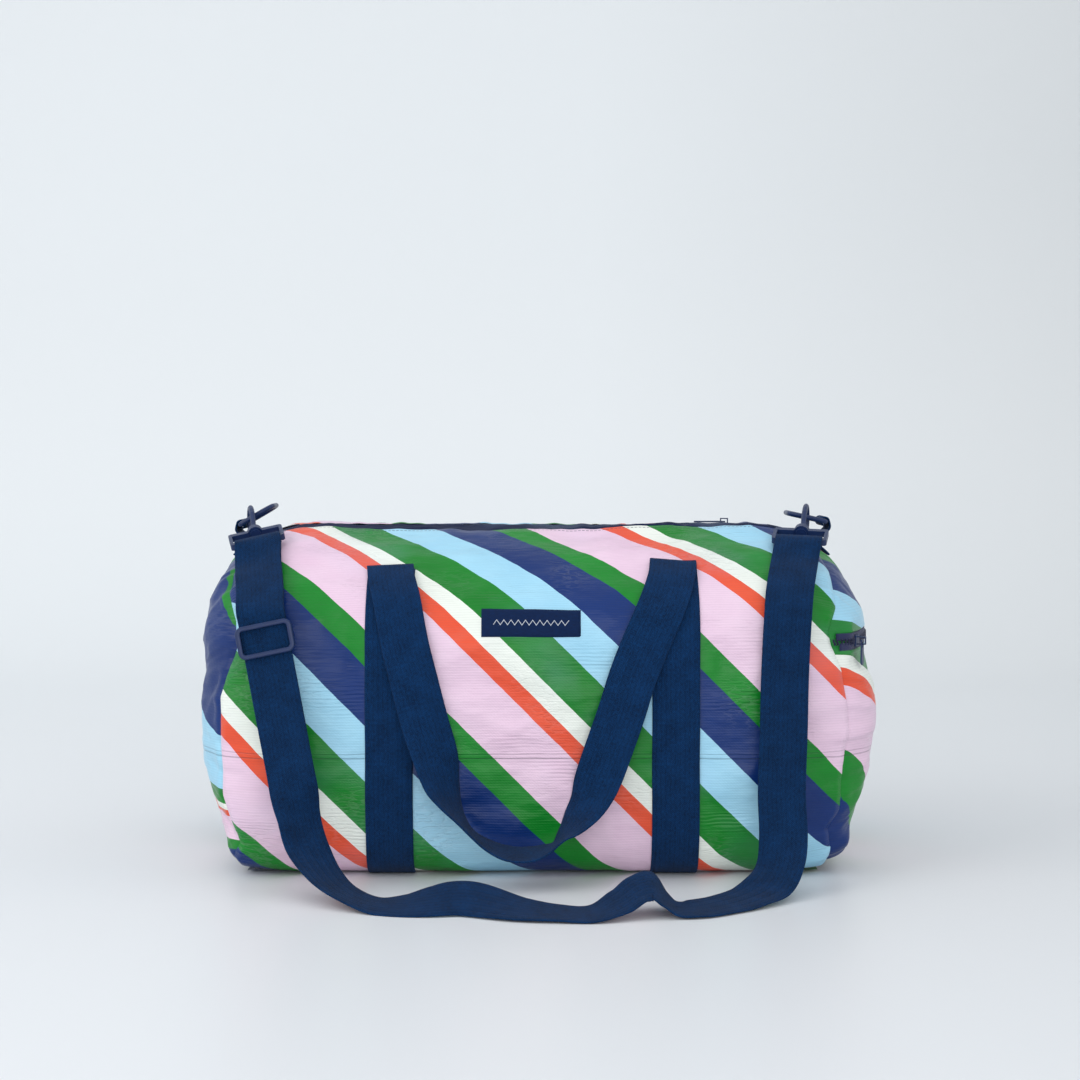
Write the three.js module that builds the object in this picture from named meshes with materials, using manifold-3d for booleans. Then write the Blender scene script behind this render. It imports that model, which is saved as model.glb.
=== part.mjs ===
// Soft weekender bag with webbing handles, a clip-on shoulder strap and zips.
// Millimetres, +X along the bag, -Y the front, +Z up, origin on the floor under its centre.
import * as THREE from 'three';
import Module from 'manifold-3d';
import { mergeVertices } from 'three/addons/utils/BufferGeometryUtils.js';

const wasm = await Module();
wasm.setup();

// ---- driving dimensions ----
const HALF_LENGTH = 246;        // centre to end seam, half-way up
const HALF_DEPTH = 140;         // centre to front face
const BASE_Z = 1.9;             // underside of the fabric, clear of the webbing below it
const BASE_CORNER = 20;         // radius of the lower front and back edges
const FABRIC = 1.5;
const GAP = 0.3;                // clearance between pieces that touch
const TOP_SEAM = { y: 43, z: 279.8 };
const ZIP_Z = 281.5;            // top surface of the strips beside the zip
const END_BULGE = 34;           // how far an end panel swells past its seam
const END_ROUNDING = 50;        // length over which the shell draws in towards a seam
const END_INSET = 12;           // how far it draws in
const CAP_STEP = 1.9;           // end panel rim past the end of the shell

const WEBBING = 38;             // webbing width
const WEB_T = 1.6;              // webbing thickness
const BAND_X = 114.5;           // handle bands either side of the centre
const FOLD = { y: -98.7, z: 254.9 };  // where a handle leaves its band

const RING = { bar: 2.2, half: 21.5, depth: 31, leg: 19, x: 250 };
const HOOK = { inner: 7, bar: 2.25, shank: 2.8, bore: 3.3, socket: 6.5 };
const FRAME = { half: 22.5, start: 38, end: 66, bar: 5 };
const GLIDE = { half: 22.6, halfHeight: 13.5, depth: 5, bar: 4.4 };

const ARC = { x: 14, r: 271.5 };    // plan arc that the end pocket's zip follows
const POCKET_Z = 190;

// ---- materials ----
const paint = (color, roughness, metalness = 0) =>
  new THREE.MeshStandardMaterial({ color, roughness, metalness });
const navyWeb = () => paint(0x15315a, 0.85);
const printed = () => paint(0xe9cbe4, 0.4);
const plastic = () => paint(0x1a3561, 0.35);
const zipFabric = () => paint(0x171f45, 0.8);

const bag = new THREE.Group();
function add(name, geometry, material, parent = bag) {
  const mesh = new THREE.Mesh(geometry, material);
  mesh.name = name;
  parent.add(mesh);
  return mesh;
}

// ---- geometry helpers ----
const V = (x, y, z) => new THREE.Vector3(x, y, z);
const clamp01 = (t) => Math.min(1, Math.max(0, t));
const steps = (n) => Array.from({ length: n + 1 }, (_, i) => i / n);

/** Closed triangle body from points and faces, turned so that its faces point out. */
function body(points, faces) {
  let volume = 0;
  for (const [a, b, c] of faces) {
    volume += points[a].dot(V(0, 0, 0).crossVectors(points[b], points[c]));
  }
  const index = faces.flatMap(([a, b, c]) => (volume > 0 ? [a, b, c] : [a, c, b]));
  const geometry = new THREE.BufferGeometry();
  geometry.setAttribute('position', new THREE.Float32BufferAttribute(points.flatMap((p) => [...p]), 3));
  geometry.setIndex(index);
  return geometry;
}

/** Joins a list of equal sections into a solid; a closed sweep has no end caps. */
function sweep(sections, closed = false) {
  const count = sections[0].length;
  const points = sections.flat();
  const faces = [];
  const spans = closed ? sections.length : sections.length - 1;
  for (let i = 0; i < spans; i++) {
    const a = i * count;
    const b = ((i + 1) % sections.length) * count;
    for (let j = 0; j < count; j++) {
      const k = (j + 1) % count;
      faces.push([a + j, b + j, b + k], [a + j, b + k, a + k]);
    }
  }
  if (!closed) {
    const last = (sections.length - 1) * count;
    for (let j = 1; j < count - 1; j++) {
      faces.push([0, j, j + 1], [last, last + j + 1, last + j]);
    }
  }
  return body(points, faces);
}

/** Thin shell: a grid of outer points and the same grid moved along its normals. */
function sheet(surface, us, vs, thickness) {
  const outer = [];
  const inner = [];
  const e = 1e-3;
  for (const u of us) {
    for (const v of vs) {
      const p = surface(u, v);
      const du = surface(Math.min(1, u + e), v).sub(surface(Math.max(0, u - e), v));
      const dv = surface(u, Math.min(1, v + e)).sub(surface(u, Math.max(0, v - e)));
      outer.push(p);
      inner.push(p.clone().addScaledVector(du.cross(dv).normalize(), -thickness));
    }
  }
  const n = vs.length;
  const m = us.length;
  const at = (i, j, layer) => layer * m * n + i * n + j;
  const faces = [];
  const quad = (a, b, c, d) => faces.push([a, b, c], [a, c, d]);
  for (let i = 0; i < m - 1; i++) {
    for (let j = 0; j < n - 1; j++) {
      quad(at(i, j, 0), at(i + 1, j, 0), at(i + 1, j + 1, 0), at(i, j + 1, 0));
      quad(at(i, j, 1), at(i, j + 1, 1), at(i + 1, j + 1, 1), at(i + 1, j, 1));
    }
  }
  for (let i = 0; i < m - 1; i++) {
    quad(at(i, 0, 0), at(i, 0, 1), at(i + 1, 0, 1), at(i + 1, 0, 0));
    quad(at(i, n - 1, 0), at(i + 1, n - 1, 0), at(i + 1, n - 1, 1), at(i, n - 1, 1));
  }
  for (let j = 0; j < n - 1; j++) {
    quad(at(0, j, 0), at(0, j + 1, 0), at(0, j + 1, 1), at(0, j, 1));
    quad(at(m - 1, j, 0), at(m - 1, j, 1), at(m - 1, j + 1, 1), at(m - 1, j + 1, 0));
  }
  return body([...outer, ...inner], faces);
}

/** Centre, width direction and normal along a route of [centre, width direction] stations. */
function frameAlong(route) {
  const path = new THREE.CatmullRomCurve3(route.map(([c]) => c), false, 'centripetal');
  const span = route.length - 1;
  return (station) => {
    const t = station / span;
    const i = Math.min(span - 1, Math.floor(station));
    const along = path.getTangent(t);
    const across = route[i][1].clone().lerp(route[i + 1][1], station - i);
    across.addScaledVector(along, -across.dot(along)).normalize();
    return { centre: path.getPoint(t), across, normal: V(0, 0, 0).crossVectors(along, across) };
  };
}

/** Flat strap along a route. */
function ribbon(route, count, width = WEBBING, thickness = WEB_T) {
  const frame = frameAlong(route);
  const sections = steps(count).map((t) => {
    const { centre, across, normal } = frame(t * (route.length - 1));
    return [[1, 1], [-1, 1], [-1, -1], [1, -1]].map(([a, b]) =>
      centre.clone()
        .addScaledVector(across, (a * width) / 2)
        .addScaledVector(normal, (b * thickness) / 2));
  });
  return sweep(sections);
}

/** Bar of round section along points in a plane with the given normal. */
function rod(points, planeNormal, radius, closed, sides = 10) {
  const count = points.length;
  const sections = points.map((p, i) => {
    const before = closed ? points[(i + count - 1) % count] : points[Math.max(0, i - 1)];
    const after = closed ? points[(i + 1) % count] : points[Math.min(count - 1, i + 1)];
    const side = after.clone().sub(before).normalize().cross(planeNormal);
    return steps(sides).slice(0, sides).map((s) =>
      p.clone()
        .addScaledVector(side, radius * Math.cos(2 * Math.PI * s))
        .addScaledVector(planeNormal, radius * Math.sin(2 * Math.PI * s)));
  });
  return sweep(sections, closed);
}

const box = (x0, x1, y0, y1, z0, z1) =>
  new THREE.BoxGeometry(x1 - x0, y1 - y0, z1 - z0)
    .translate((x0 + x1) / 2, (y0 + y1) / 2, (z0 + z1) / 2);

/** Solid of revolution about local Y, its profile closed on the axis or on itself. */
const turned = (profile, sides = 20) =>
  new THREE.LatheGeometry(profile.map(([r, h]) => new THREE.Vector2(r, h)), sides);

function toManifold(geometry) {
  const bare = geometry.clone();
  bare.deleteAttribute('normal');
  bare.deleteAttribute('uv');
  const merged = mergeVertices(bare, 1e-4);
  return new wasm.Manifold(new wasm.Mesh({
    numProp: 3,
    vertProperties: new Float32Array(merged.attributes.position.array),
    triVerts: new Uint32Array(merged.index.array),
  }));
}

function fromManifold(solid) {
  const mesh = solid.getMesh();
  const geometry = new THREE.BufferGeometry();
  geometry.setAttribute('position', new THREE.Float32BufferAttribute(mesh.vertProperties, 3));
  geometry.setIndex([...mesh.triVerts]);
  return geometry;
}

const union = (...parts) =>
  fromManifold(parts.map(toManifold).reduce((whole, part) => whole.add(part)));
const subtract = (whole, ...cuts) =>
  fromManifold(cuts.map(toManifold).reduce((left, cut) => left.subtract(cut), toManifold(whole)));

// ---- the bag's section and skin ----
// Front half of the section, in (y, z), from the base edge up to the top seam.
const section = new THREE.Path();
section.moveTo(BASE_CORNER - HALF_DEPTH, BASE_Z);
section.absarc(BASE_CORNER - HALF_DEPTH, BASE_Z + BASE_CORNER, BASE_CORNER, -Math.PI / 2, -Math.PI, true);
section.lineTo(-HALF_DEPTH, 180);
section.splineThru([
  new THREE.Vector2(-137.5, 200), new THREE.Vector2(-130.5, 218), new THREE.Vector2(-118, 235),
  new THREE.Vector2(-103, 247.5), new THREE.Vector2(-89.5, 258.5), new THREE.Vector2(-74, 266.6),
  new THREE.Vector2(-58, 273.5), new THREE.Vector2(-TOP_SEAM.y, TOP_SEAM.z),
]);
const SECTION_STEPS = [
  0, 0.025, 0.05, 0.075, 0.1, 0.25, 0.4, 0.55, 0.62, 0.68, 0.74, 0.8, 0.87, 0.93, 1,
];

const halfLength = (z) => HALF_LENGTH - 11 * clamp01((60 - z) / 60) ** 2;
function endInset(x, z) {
  const t = Math.max(0, Math.abs(x) - (HALF_LENGTH - END_ROUNDING)) / END_ROUNDING;
  return END_INSET * t * t * (0.4 + 0.6 * clamp01(z / 80));
}

/** Point of the skin at x and section parameter v, moved out by offset; side -1 front, 1 back. */
function skin(x, v, offset = 0, side = -1) {
  const p = section.getPointAt(v);
  const t = section.getTangentAt(v);
  const out = offset - endInset(x, p.y);
  return V(x, -side * (p.x - t.y * out), p.y + t.x * out);
}

// Columns run close together where the shell draws in towards its ends.
const COLUMNS = [-1, -0.96, -0.92, -0.88, -0.8, -0.4, 0, 0.4, 0.8, 0.88, 0.92, 0.96, 1].map((c) => (c + 1) / 2);

function wallPanel(side) {
  const surface = (u, v) => {
    const z = section.getPointAt(v).y;
    return skin((2 * u - 1) * halfLength(z), v, 0, side);
  };
  return sheet(surface, COLUMNS, SECTION_STEPS, side * -FABRIC);
}
add('front_panel', wallPanel(-1), printed());
add('back_panel', wallPanel(1), printed());

const baseHalfDepth = HALF_DEPTH - BASE_CORNER - GAP;
add('base_panel', sheet((u, v) => {
  const x = (2 * u - 1) * halfLength(0);
  return V(x, (2 * v - 1) * baseHalfDepth, BASE_Z + endInset(x, 0));
}, COLUMNS, steps(2), -FABRIC), printed());

/** Flat-ish piece of the top between two y values, over a stretch of x. */
function topPiece(y0, y1, x0, x1, us, thickness = 1.2) {
  const height = (y) => ZIP_Z - (ZIP_Z - TOP_SEAM.z) * clamp01((Math.abs(y) - 9) / (TOP_SEAM.y - 9));
  return sheet((u, v) => {
    const x = x0 + (x1 - x0) * u;
    const y = y0 + (y1 - y0) * v;
    const inset = endInset(x, ZIP_Z);
    return V(x, y - (y / TOP_SEAM.y) * inset * 0.39, height(y) - inset * 0.92);
  }, us, steps(1), thickness);
}
const STRIP = { inner: 9, outer: TOP_SEAM.y - 1.4 };
add('front_top_strip', topPiece(-STRIP.outer, -STRIP.inner, -HALF_LENGTH, HALF_LENGTH, COLUMNS), printed());
add('back_top_strip', topPiece(STRIP.inner, STRIP.outer, -HALF_LENGTH, HALF_LENGTH, COLUMNS), printed());

// ---- end panels ----
/** Closed outline of the shell's end in (y, z), moved in by depth. */
function endOutline(depth) {
  const front = SECTION_STEPS.map((v) => skin(HALF_LENGTH, v, -depth));
  const back = [...front].reverse().map((p) => V(p.x, -p.y, p.z));
  return [...front, ...back].map((p) => new THREE.Vector2(p.y, p.z));
}

const CAP = { y: 0, z: 140, thickness: 1.4, power: 4 };
function endPanel(sign) {
  const rim = endOutline(FABRIC + 2 * GAP);
  const rings = [0.25, 0.45, 0.62, 0.76, 0.87, 0.95, 1];
  const points = [];
  for (const shift of [0, CAP.thickness]) {
    for (const rho of rings) {
      for (const o of rim) {
        const seam = HALF_LENGTH + (halfLength(o.y) - HALF_LENGTH) * rho * rho;
        const x = seam + CAP_STEP + END_BULGE * (1 - rho ** CAP.power) - shift;
        points.push(V(sign * x, CAP.y + (o.x - CAP.y) * rho, CAP.z + (o.y - CAP.z) * rho));
      }
    }
    points.push(V(sign * (HALF_LENGTH + CAP_STEP + END_BULGE - shift), CAP.y, CAP.z));
  }
  const n = rim.length;
  const layer = rings.length * n + 1;
  const faces = [];
  for (let j = 0; j < n; j++) {
    const k = (j + 1) % n;
    faces.push([layer - 1, j, k], [2 * layer - 1, layer + k, layer + j]);
    for (let i = 0; i < rings.length - 1; i++) {
      const a = i * n;
      const b = a + n;
      faces.push([a + j, b + j, b + k], [a + j, b + k, a + k]);
      faces.push([layer + a + j, layer + b + k, layer + b + j], [layer + a + j, layer + a + k, layer + b + k]);
    }
    const r = (rings.length - 1) * n;
    faces.push([r + j, layer + r + j, layer + r + k], [r + j, layer + r + k, r + k]);
  }
  return body(points, faces);
}
add('left_end_panel', endPanel(-1), printed());

// The right end panel is cut in two for its pocket zip.
const ZIP_WINDOW = 6;
const far = 400;
const rightEnd = endPanel(1);
add('right_end_upper', subtract(rightEnd, box(200, far, -far, far, -10, POCKET_Z + ZIP_WINDOW)), printed());
add('right_end_lower', subtract(rightEnd, box(200, far, -far, far, POCKET_Z - ZIP_WINDOW, far)), printed());

/** Tape that covers the raw edges of an end seam on the inside. */
function seamBinding(sign) {
  const rim = endOutline(END_INSET * 0.35 + FABRIC + 2);
  const sections = rim.map((o, i) => {
    const next = rim[(i + 1) % rim.length];
    const before = rim[(i + rim.length - 1) % rim.length];
    const along = next.clone().sub(before).normalize();
    const inward = new THREE.Vector2(along.y, -along.x);
    const end = halfLength(o.y);
    return [[end - 9, 0], [end - 1, 0], [end - 1, 0.8], [end - 9, 0.8]].map(([x, depth]) =>
      V(sign * x, o.x + inward.x * depth, o.y + inward.y * depth));
  });
  return sweep(sections, true);
}
add('left_seam_binding', seamBinding(-1), zipFabric());
add('right_seam_binding', seamBinding(1), zipFabric());

// ---- main zip ----
const TAPE = { z: ZIP_Z - 2.7, thickness: 0.8, edge: 3.7, back: 16 };
const ZIP_END = 205;
const COIL = { inner: 0.75, outer: 3.3, low: TAPE.z - 1.5, high: TAPE.z + 0.6 };
for (const [name, side] of [['front', -1], ['back', 1]]) {
  const ys = [side * TAPE.edge, side * TAPE.back].sort((a, b) => a - b);
  add(`${name}_zip_tape`, box(-ZIP_END, ZIP_END, ys[0], ys[1], TAPE.z - TAPE.thickness, TAPE.z), zipFabric());
  const cs = [side * COIL.inner, side * COIL.outer].sort((a, b) => a - b);
  add(`${name}_zip_teeth`, box(-ZIP_END + 4, ZIP_END - 4, cs[0], cs[1], COIL.low, COIL.high), zipFabric());
}
for (const [name, sign] of [['left', -1], ['right', 1]]) {
  const xs = [sign * (ZIP_END + 2), sign * HALF_LENGTH].sort((a, b) => a - b);
  const half = STRIP.inner - 2 * GAP;
  add(`${name}_zip_end_cover`, topPiece(-half, half, xs[0], xs[1], steps(5)), printed());
}

// ---- zip sliders: local x along the zip, y across it, z out; z = 0 is the tape's outer face ----
const PLATE = { length: 5.5, width: 4.6, thickness: 1.5, above: 1.1, below: 2.1, neck: 0.35 };
const ARCH = { foot: 3.4, top: 4.6, bar: 0.9, half: 1.1 };
const PULL_PIN_Z = PLATE.above + PLATE.thickness + 1.5;
function sliderBody(archAcross, lift) {
  const { length, width, thickness, above, below, neck } = PLATE;
  const high = above + thickness;
  const low = -below - thickness;
  const top = high + ARCH.top + lift;
  const arch = [
    box(-ARCH.foot, -ARCH.foot + ARCH.bar, -ARCH.half, ARCH.half, high - 0.5, top),
    box(ARCH.foot - ARCH.bar, ARCH.foot, -ARCH.half, ARCH.half, high - 0.5, top),
    box(-ARCH.foot, ARCH.foot, -ARCH.half, ARCH.half, top - ARCH.bar, top),
  ];
  if (archAcross) {
    arch.forEach((piece) => piece.rotateZ(Math.PI / 2));
  }
  return union(
    box(-length, length, -width, width, above, high),
    box(-length, length, -width, width, low, -below),
    box(length - 3, length, -neck, neck, -below - 0.5, above + 0.5),
    ...arch,
  );
}

/** Pull tab in its own frame: crossbar along y at the origin, tab towards +x. */
function pullTab(length) {
  const bar = 0.8;
  const arm = ARCH.half + 0.7;
  return union(
    box(-bar, bar, -arm - 1.4, arm + 1.4, -bar * 0.7, bar * 0.7),
    box(-bar, 8, -arm - 1.4, -arm, -bar * 0.7, bar * 0.7),
    box(-bar, 8, arm, arm + 1.4, -bar * 0.7, bar * 0.7),
    new THREE.ExtrudeGeometry(tabShape(6, length, 3.6), { depth: 1.2, bevelEnabled: false })
      .translate(0, 0, -0.6),
  );
}
function tabShape(start, end, half) {
  const round = half - 0.6;
  const shape = new THREE.Shape();
  shape.moveTo(start, -arcHalf(half));
  shape.lineTo(end - round, -half);
  shape.absarc(end - round, -half + round, round, -Math.PI / 2, 0, false);
  shape.absarc(end - round, half - round, round, 0, Math.PI / 2, false);
  shape.lineTo(start, arcHalf(half));
  shape.closePath();
  return shape;
}
const arcHalf = (half) => half - 0.4;

const SLIDER_X = 165;
const mainZip = new THREE.Group();
mainZip.position.set(SLIDER_X, 0, TAPE.z);
bag.add(mainZip);
add('zip_slider', sliderBody(false, 0), plastic(), mainZip);
const mainPull = add('zip_pull', pullTab(26), plastic(), mainZip);
mainPull.position.z = PULL_PIN_Z;
mainPull.rotation.set(0, 0, Math.PI);

// ---- end pocket: zip along an arc, backing sheet inside ----
const arcPoint = (angle, radius, z) => V(ARC.x + radius * Math.cos(angle), radius * Math.sin(angle), z);
const ARC_END = 0.467;
const POCKET_TAPE = { r: ARC.r - 2.8, thickness: 0.8 };
function arcStrip(z0, z1, rOuter, thickness, end) {
  const surface = (u, v) => arcPoint(end * (2 * u - 1), rOuter, z0 + (z1 - z0) * v);
  return sheet(surface, steps(12), steps(1), thickness);
}
for (const [name, side] of [['upper', 1], ['lower', -1]]) {
  const zs = [POCKET_Z + side * 3.3, POCKET_Z + side * (ZIP_WINDOW - GAP)].sort((a, b) => a - b);
  const cs = [POCKET_Z + side * 0.75, POCKET_Z + side * 3].sort((a, b) => a - b);
  add(`pocket_tape_${name}`, arcStrip(zs[0], zs[1], POCKET_TAPE.r, POCKET_TAPE.thickness, ARC_END), zipFabric());
  add(`pocket_teeth_${name}`, arcStrip(cs[0], cs[1], POCKET_TAPE.r + 0.6, 2, ARC_END - 0.02), zipFabric());
}
const POCKET_SLIDER_ANGLE = -0.3935;
const pocketZip = new THREE.Group();
pocketZip.position.copy(arcPoint(POCKET_SLIDER_ANGLE, POCKET_TAPE.r, POCKET_Z));
// Local x runs forwards along the arc, y down the panel and z out of it.
const outward = V(Math.cos(POCKET_SLIDER_ANGLE), Math.sin(POCKET_SLIDER_ANGLE), 0);
const forwards = V(Math.sin(POCKET_SLIDER_ANGLE), -Math.cos(POCKET_SLIDER_ANGLE), 0);
pocketZip.quaternion.setFromRotationMatrix(new THREE.Matrix4().makeBasis(
  forwards, V(0, 0, 0).crossVectors(outward, forwards), outward));
bag.add(pocketZip);
// The end panel swells past its zip, so this slider's arch stands taller.
const POCKET_LIFT = 2.2;
add('pocket_slider', sliderBody(true, POCKET_LIFT), plastic(), pocketZip);
const pocketPull = add('pocket_pull', pullTab(20), plastic(), pocketZip);
pocketPull.position.z = PULL_PIN_Z + POCKET_LIFT;
pocketPull.rotation.z = Math.PI / 2;

add('pocket_backing', box(235, 236, -100, 100, 40, 205), zipFabric());

// ---- webbing bands and label ----
/** Webbing sewn flat on the front or back, from the base corner to the handle fold. */
const FOLD_V = 0.813;
const BAND_FOOT = 0.012;
const BAND_STEPS = [BAND_FOOT, ...SECTION_STEPS.filter((v) => v > BAND_FOOT && v < FOLD_V), FOLD_V];
function wallBand(sign, side) {
  const surface = (u, v) => skin(sign * BAND_X + (u - 0.5) * WEBBING, v, WEB_T + GAP, side);
  return sheet(surface, [0, 1], BAND_STEPS, side * -WEB_T);
}
for (const [name, sign] of [['left', -1], ['right', 1]]) {
  add(`front_${name}_band`, wallBand(sign, -1), navyWeb());
  add(`back_${name}_band`, wallBand(sign, 1), navyWeb());
  const x = sign * BAND_X;
  const bandZ = BASE_Z - GAP - WEB_T;
  add(`base_${name}_band`,
    box(x - WEBBING / 2, x + WEBBING / 2, -baseHalfDepth, baseHalfDepth, bandZ, BASE_Z - GAP), navyWeb());
}

const LABEL = { half: 38.5, low: 0.611, high: 0.674 };
add('front_label', sheet((u, v) => skin(
  (2 * u - 1) * LABEL.half, LABEL.low + (LABEL.high - LABEL.low) * v, 0.8 + GAP, -1),
[0, 1], steps(4), 0.8), navyWeb());

// ---- carry handles ----
// Free loop of one handle, at the front: out of the left fold, down, and up to the right fold.
const HANDLE = [
  [V(-BAND_X, FOLD.y, FOLD.z), V(1, 0, 0)],
  [V(-112.5, -115.5, 243.8), V(1, 0, 0)],
  [V(-108.5, -131, 227.5), V(1, 0.02, 0.05)],
  [V(-104.5, -140.5, 206), V(1, 0.02, 0.1)],
  [V(-101.2, -144, 190), V(1, 0.02, 0.15)],
  [V(-94.5, -147, 164), V(1, 0.02, 0.2)],
  [V(-84.8, -150, 127), V(1, 0.03, 0.22)],
  [V(-76.8, -152, 104), V(0.97, 0.06, 0.3)],
  [V(-67, -155, 72), V(0.9, 0.16, 0.4)],
  [V(-54, -158, 48.5), V(0.75, 0.38, 0.5)],
  [V(-41, -162, 36), V(0.48, 0.72, 0.45)],
  [V(-23, -166, 29.5), V(0.2, 0.93, 0.25)],
  [V(-2, -168, 27.8), V(0, 0.99, 0.12)],
  [V(18, -165.5, 32.5), V(-0.25, 0.9, 0.28)],
  [V(34, -160, 46.5), V(-0.6, 0.6, 0.5)],
  [V(46.5, -157, 73), V(-0.85, 0.28, 0.42)],
  [V(59.5, -153, 102), V(-0.95, 0.06, 0.3)],
  [V(70.4, -149.5, 136), V(-1, 0.03, 0.25)],
  [V(79.6, -146.5, 165), V(-1, 0.02, 0.22)],
  [V(90.5, -142, 192), V(-1, 0.02, 0.18)],
  [V(99.5, -139.5, 212), V(-1, 0.02, 0.12)],
  [V(106.5, -130, 228), V(-1, 0.02, 0.06)],
  [V(112.3, -115.5, 243.8), V(-1, 0, 0)],
  [V(BAND_X, FOLD.y, FOLD.z), V(-1, 0, 0)],
];
add('front_handle', ribbon(HANDLE, 60), navyWeb());
const turnedHandle = HANDLE.map(([c, w]) => [V(-c.x, -c.y, c.z), V(-w.x, -w.y, w.z)]);
add('back_handle', ribbon(turnedHandle, 60), navyWeb());

// ---- D-rings and their tabs ----
/** D outline in a plane: the straight bar at s = 0 and the rounded end at s = depth. */
function ringOutline() {
  const { half, leg, depth } = RING;
  const tipRadius = depth - leg;
  const corner = 3;
  const outline = new THREE.Path();
  outline.moveTo(0, 0);
  outline.lineTo(0, half - corner);
  outline.absarc(corner, half - corner, corner, Math.PI, Math.PI / 2, true);
  outline.lineTo(leg, half);
  outline.absarc(leg, half - tipRadius, tipRadius, Math.PI / 2, 0, true);
  outline.lineTo(depth, -half + tipRadius);
  outline.absarc(leg, -half + tipRadius, tipRadius, 0, -Math.PI / 2, true);
  outline.lineTo(corner, -half);
  outline.absarc(corner, -half + corner, corner, -Math.PI / 2, -Math.PI, true);
  outline.lineTo(0, 0);
  return outline.getPoints(3).slice(0, -1)
    .filter((p, i, all) => i === 0 || p.distanceTo(all[i - 1]) > 1e-3);
}
function dRing(sign, z, tilt) {
  const inward = V(-sign * Math.cos(tilt), 0, Math.sin(tilt));
  const normal = V(0, 0, 0).crossVectors(inward, V(0, 1, 0));
  const points = ringOutline().map((p) =>
    V(sign * RING.x, p.y, z).addScaledVector(inward, p.x));
  return rod(points, normal, RING.bar, true, 8);
}
function ringTab(sign, ringZ) {
  const wrap = RING.bar + 0.4 + WEB_T / 2;
  const tail = [[270.9, 240], [264.3, 251], [256.5, 262.5], [253.7, ringZ - 6]];
  const loop = [0, 45, 90, 135, 180, 225, 250].map((degrees) => {
    const a = THREE.MathUtils.degToRad(degrees);
    return [RING.x + wrap * Math.cos(a), ringZ + wrap * Math.sin(a)];
  });
  return ribbon([...tail, ...loop].map(([x, z]) => [V(sign * x, 0, z), V(0, 1, 0)]), 30, 36);
}
for (const [name, sign, z, tilt] of [['left', -1, 281, 0.53], ['right', 1, 283.6, 0.22]]) {
  add(`${name}_d_ring`, dRing(sign, z, tilt), plastic());
  add(`${name}_ring_tab`, ringTab(sign, z), navyWeb());
}

// ---- swivel snap hooks: local x across, y along the shank from the ring to the strap, z up ----
function hookNose() {
  const r = HOOK.inner + HOOK.bar;
  const points = [V(0, 33, 0), V(0, 28, 0.4), V(0, 23, 2.2), V(0, 18, 5), V(0, 12, 7.9), V(0, 6, 9.1)];
  for (const t of steps(10)) {
    const a = Math.PI / 2 + Math.PI * t;
    points.push(V(0, r * Math.cos(a), r * Math.sin(a)));
  }
  points.push(V(0, 3, -r));
  const shank = turned([[0, 27], [HOOK.shank, 27], [HOOK.shank, 44.3], [4.6, 44.3], [4.6, 46.6], [0, 46.6]], 16);
  return union(rod(points, V(1, 0, 0), HOOK.bar, false), shank);
}
/** Sprung gate that closes the hook between its tip and its shank. */
function hookGate() {
  const r = HOOK.inner + HOOK.bar;
  const points = [V(0, 5.9, -r), V(0, 11, -r + 0.8), V(0, 18, -r + 3), V(0, 24.5, -r + 5.2)];
  return rod(points, V(1, 0, 0), 1.5, false);
}
/** Rectangular strap frame with the swivel's socket in its near bar. */
function hookFrame() {
  const { half, start, end, bar } = FRAME;
  const outline = new THREE.Shape();
  const corner = 3;
  outline.moveTo(-half + corner, start);
  outline.lineTo(half - corner, start);
  outline.absarc(half - corner, start + corner, corner, -Math.PI / 2, 0, false);
  outline.lineTo(half, end - corner);
  outline.absarc(half - corner, end - corner, corner, 0, Math.PI / 2, false);
  outline.lineTo(-half + corner, end);
  outline.absarc(-half + corner, end - corner, corner, Math.PI / 2, Math.PI, false);
  outline.lineTo(-half, start + corner);
  outline.absarc(-half + corner, start + corner, corner, Math.PI, 1.5 * Math.PI, false);
  const opening = new THREE.Path();
  const inner = half - 2.9;
  opening.moveTo(-inner, start + bar + 1);
  opening.lineTo(-inner, end - bar);
  opening.lineTo(inner, end - bar);
  opening.lineTo(inner, start + bar + 1);
  opening.closePath();
  outline.holes.push(opening);
  const plate = new THREE.ExtrudeGeometry(outline, { depth: bar, bevelEnabled: false, curveSegments: 4 })
    .translate(0, 0, -bar / 2);
  const socket = turned([[0, 33.6], [4.6, 33.6], [HOOK.socket, 36.5], [HOOK.socket, 43.9], [0, 43.9]]);
  const bore = turned([[0, 30], [HOOK.bore, 30], [HOOK.bore, 50], [0, 50]]);
  return subtract(union(plate, socket), bore);
}

const HOOKS = [
  { name: 'left', at: V(-240.9, -21.5, 286.2), along: V(14.5, -59, -16.8), roll: 0.22 },
  { name: 'right', at: V(233, -21.5, 287.6), along: V(-13.5, -58.5, -17.5), roll: -0.04 },
];
for (const hook of HOOKS) {
  hook.along.normalize();
  hook.up = V(0, 0, 1).addScaledVector(hook.along, -hook.along.z).normalize();
  hook.across = V(0, 0, 0).crossVectors(hook.along, hook.up);
  const place = new THREE.Group();
  place.position.copy(hook.at);
  place.quaternion.setFromRotationMatrix(new THREE.Matrix4().makeBasis(hook.across, hook.along, hook.up));
  bag.add(place);
  add(`${hook.name}_snap_hook`, hookNose(), plastic(), place);
  add(`${hook.name}_hook_gate`, hookGate(), plastic(), place);
  add(`${hook.name}_hook_frame`, hookFrame(), plastic(), place).rotation.y = hook.roll;
  // The frame's own axes, after its roll about the shank.
  hook.frameUp = hook.up.clone().applyAxisAngle(hook.along, hook.roll);
  hook.frameAcross = hook.across.clone().applyAxisAngle(hook.along, hook.roll);
}
const [leftHook, rightHook] = HOOKS;

/** Point beside a hook's strap bar, s along the shank and n out of the frame. */
const atHook = (hook, s, n) =>
  hook.at.clone().addScaledVector(hook.along, s).addScaledVector(hook.frameUp, n);

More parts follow.
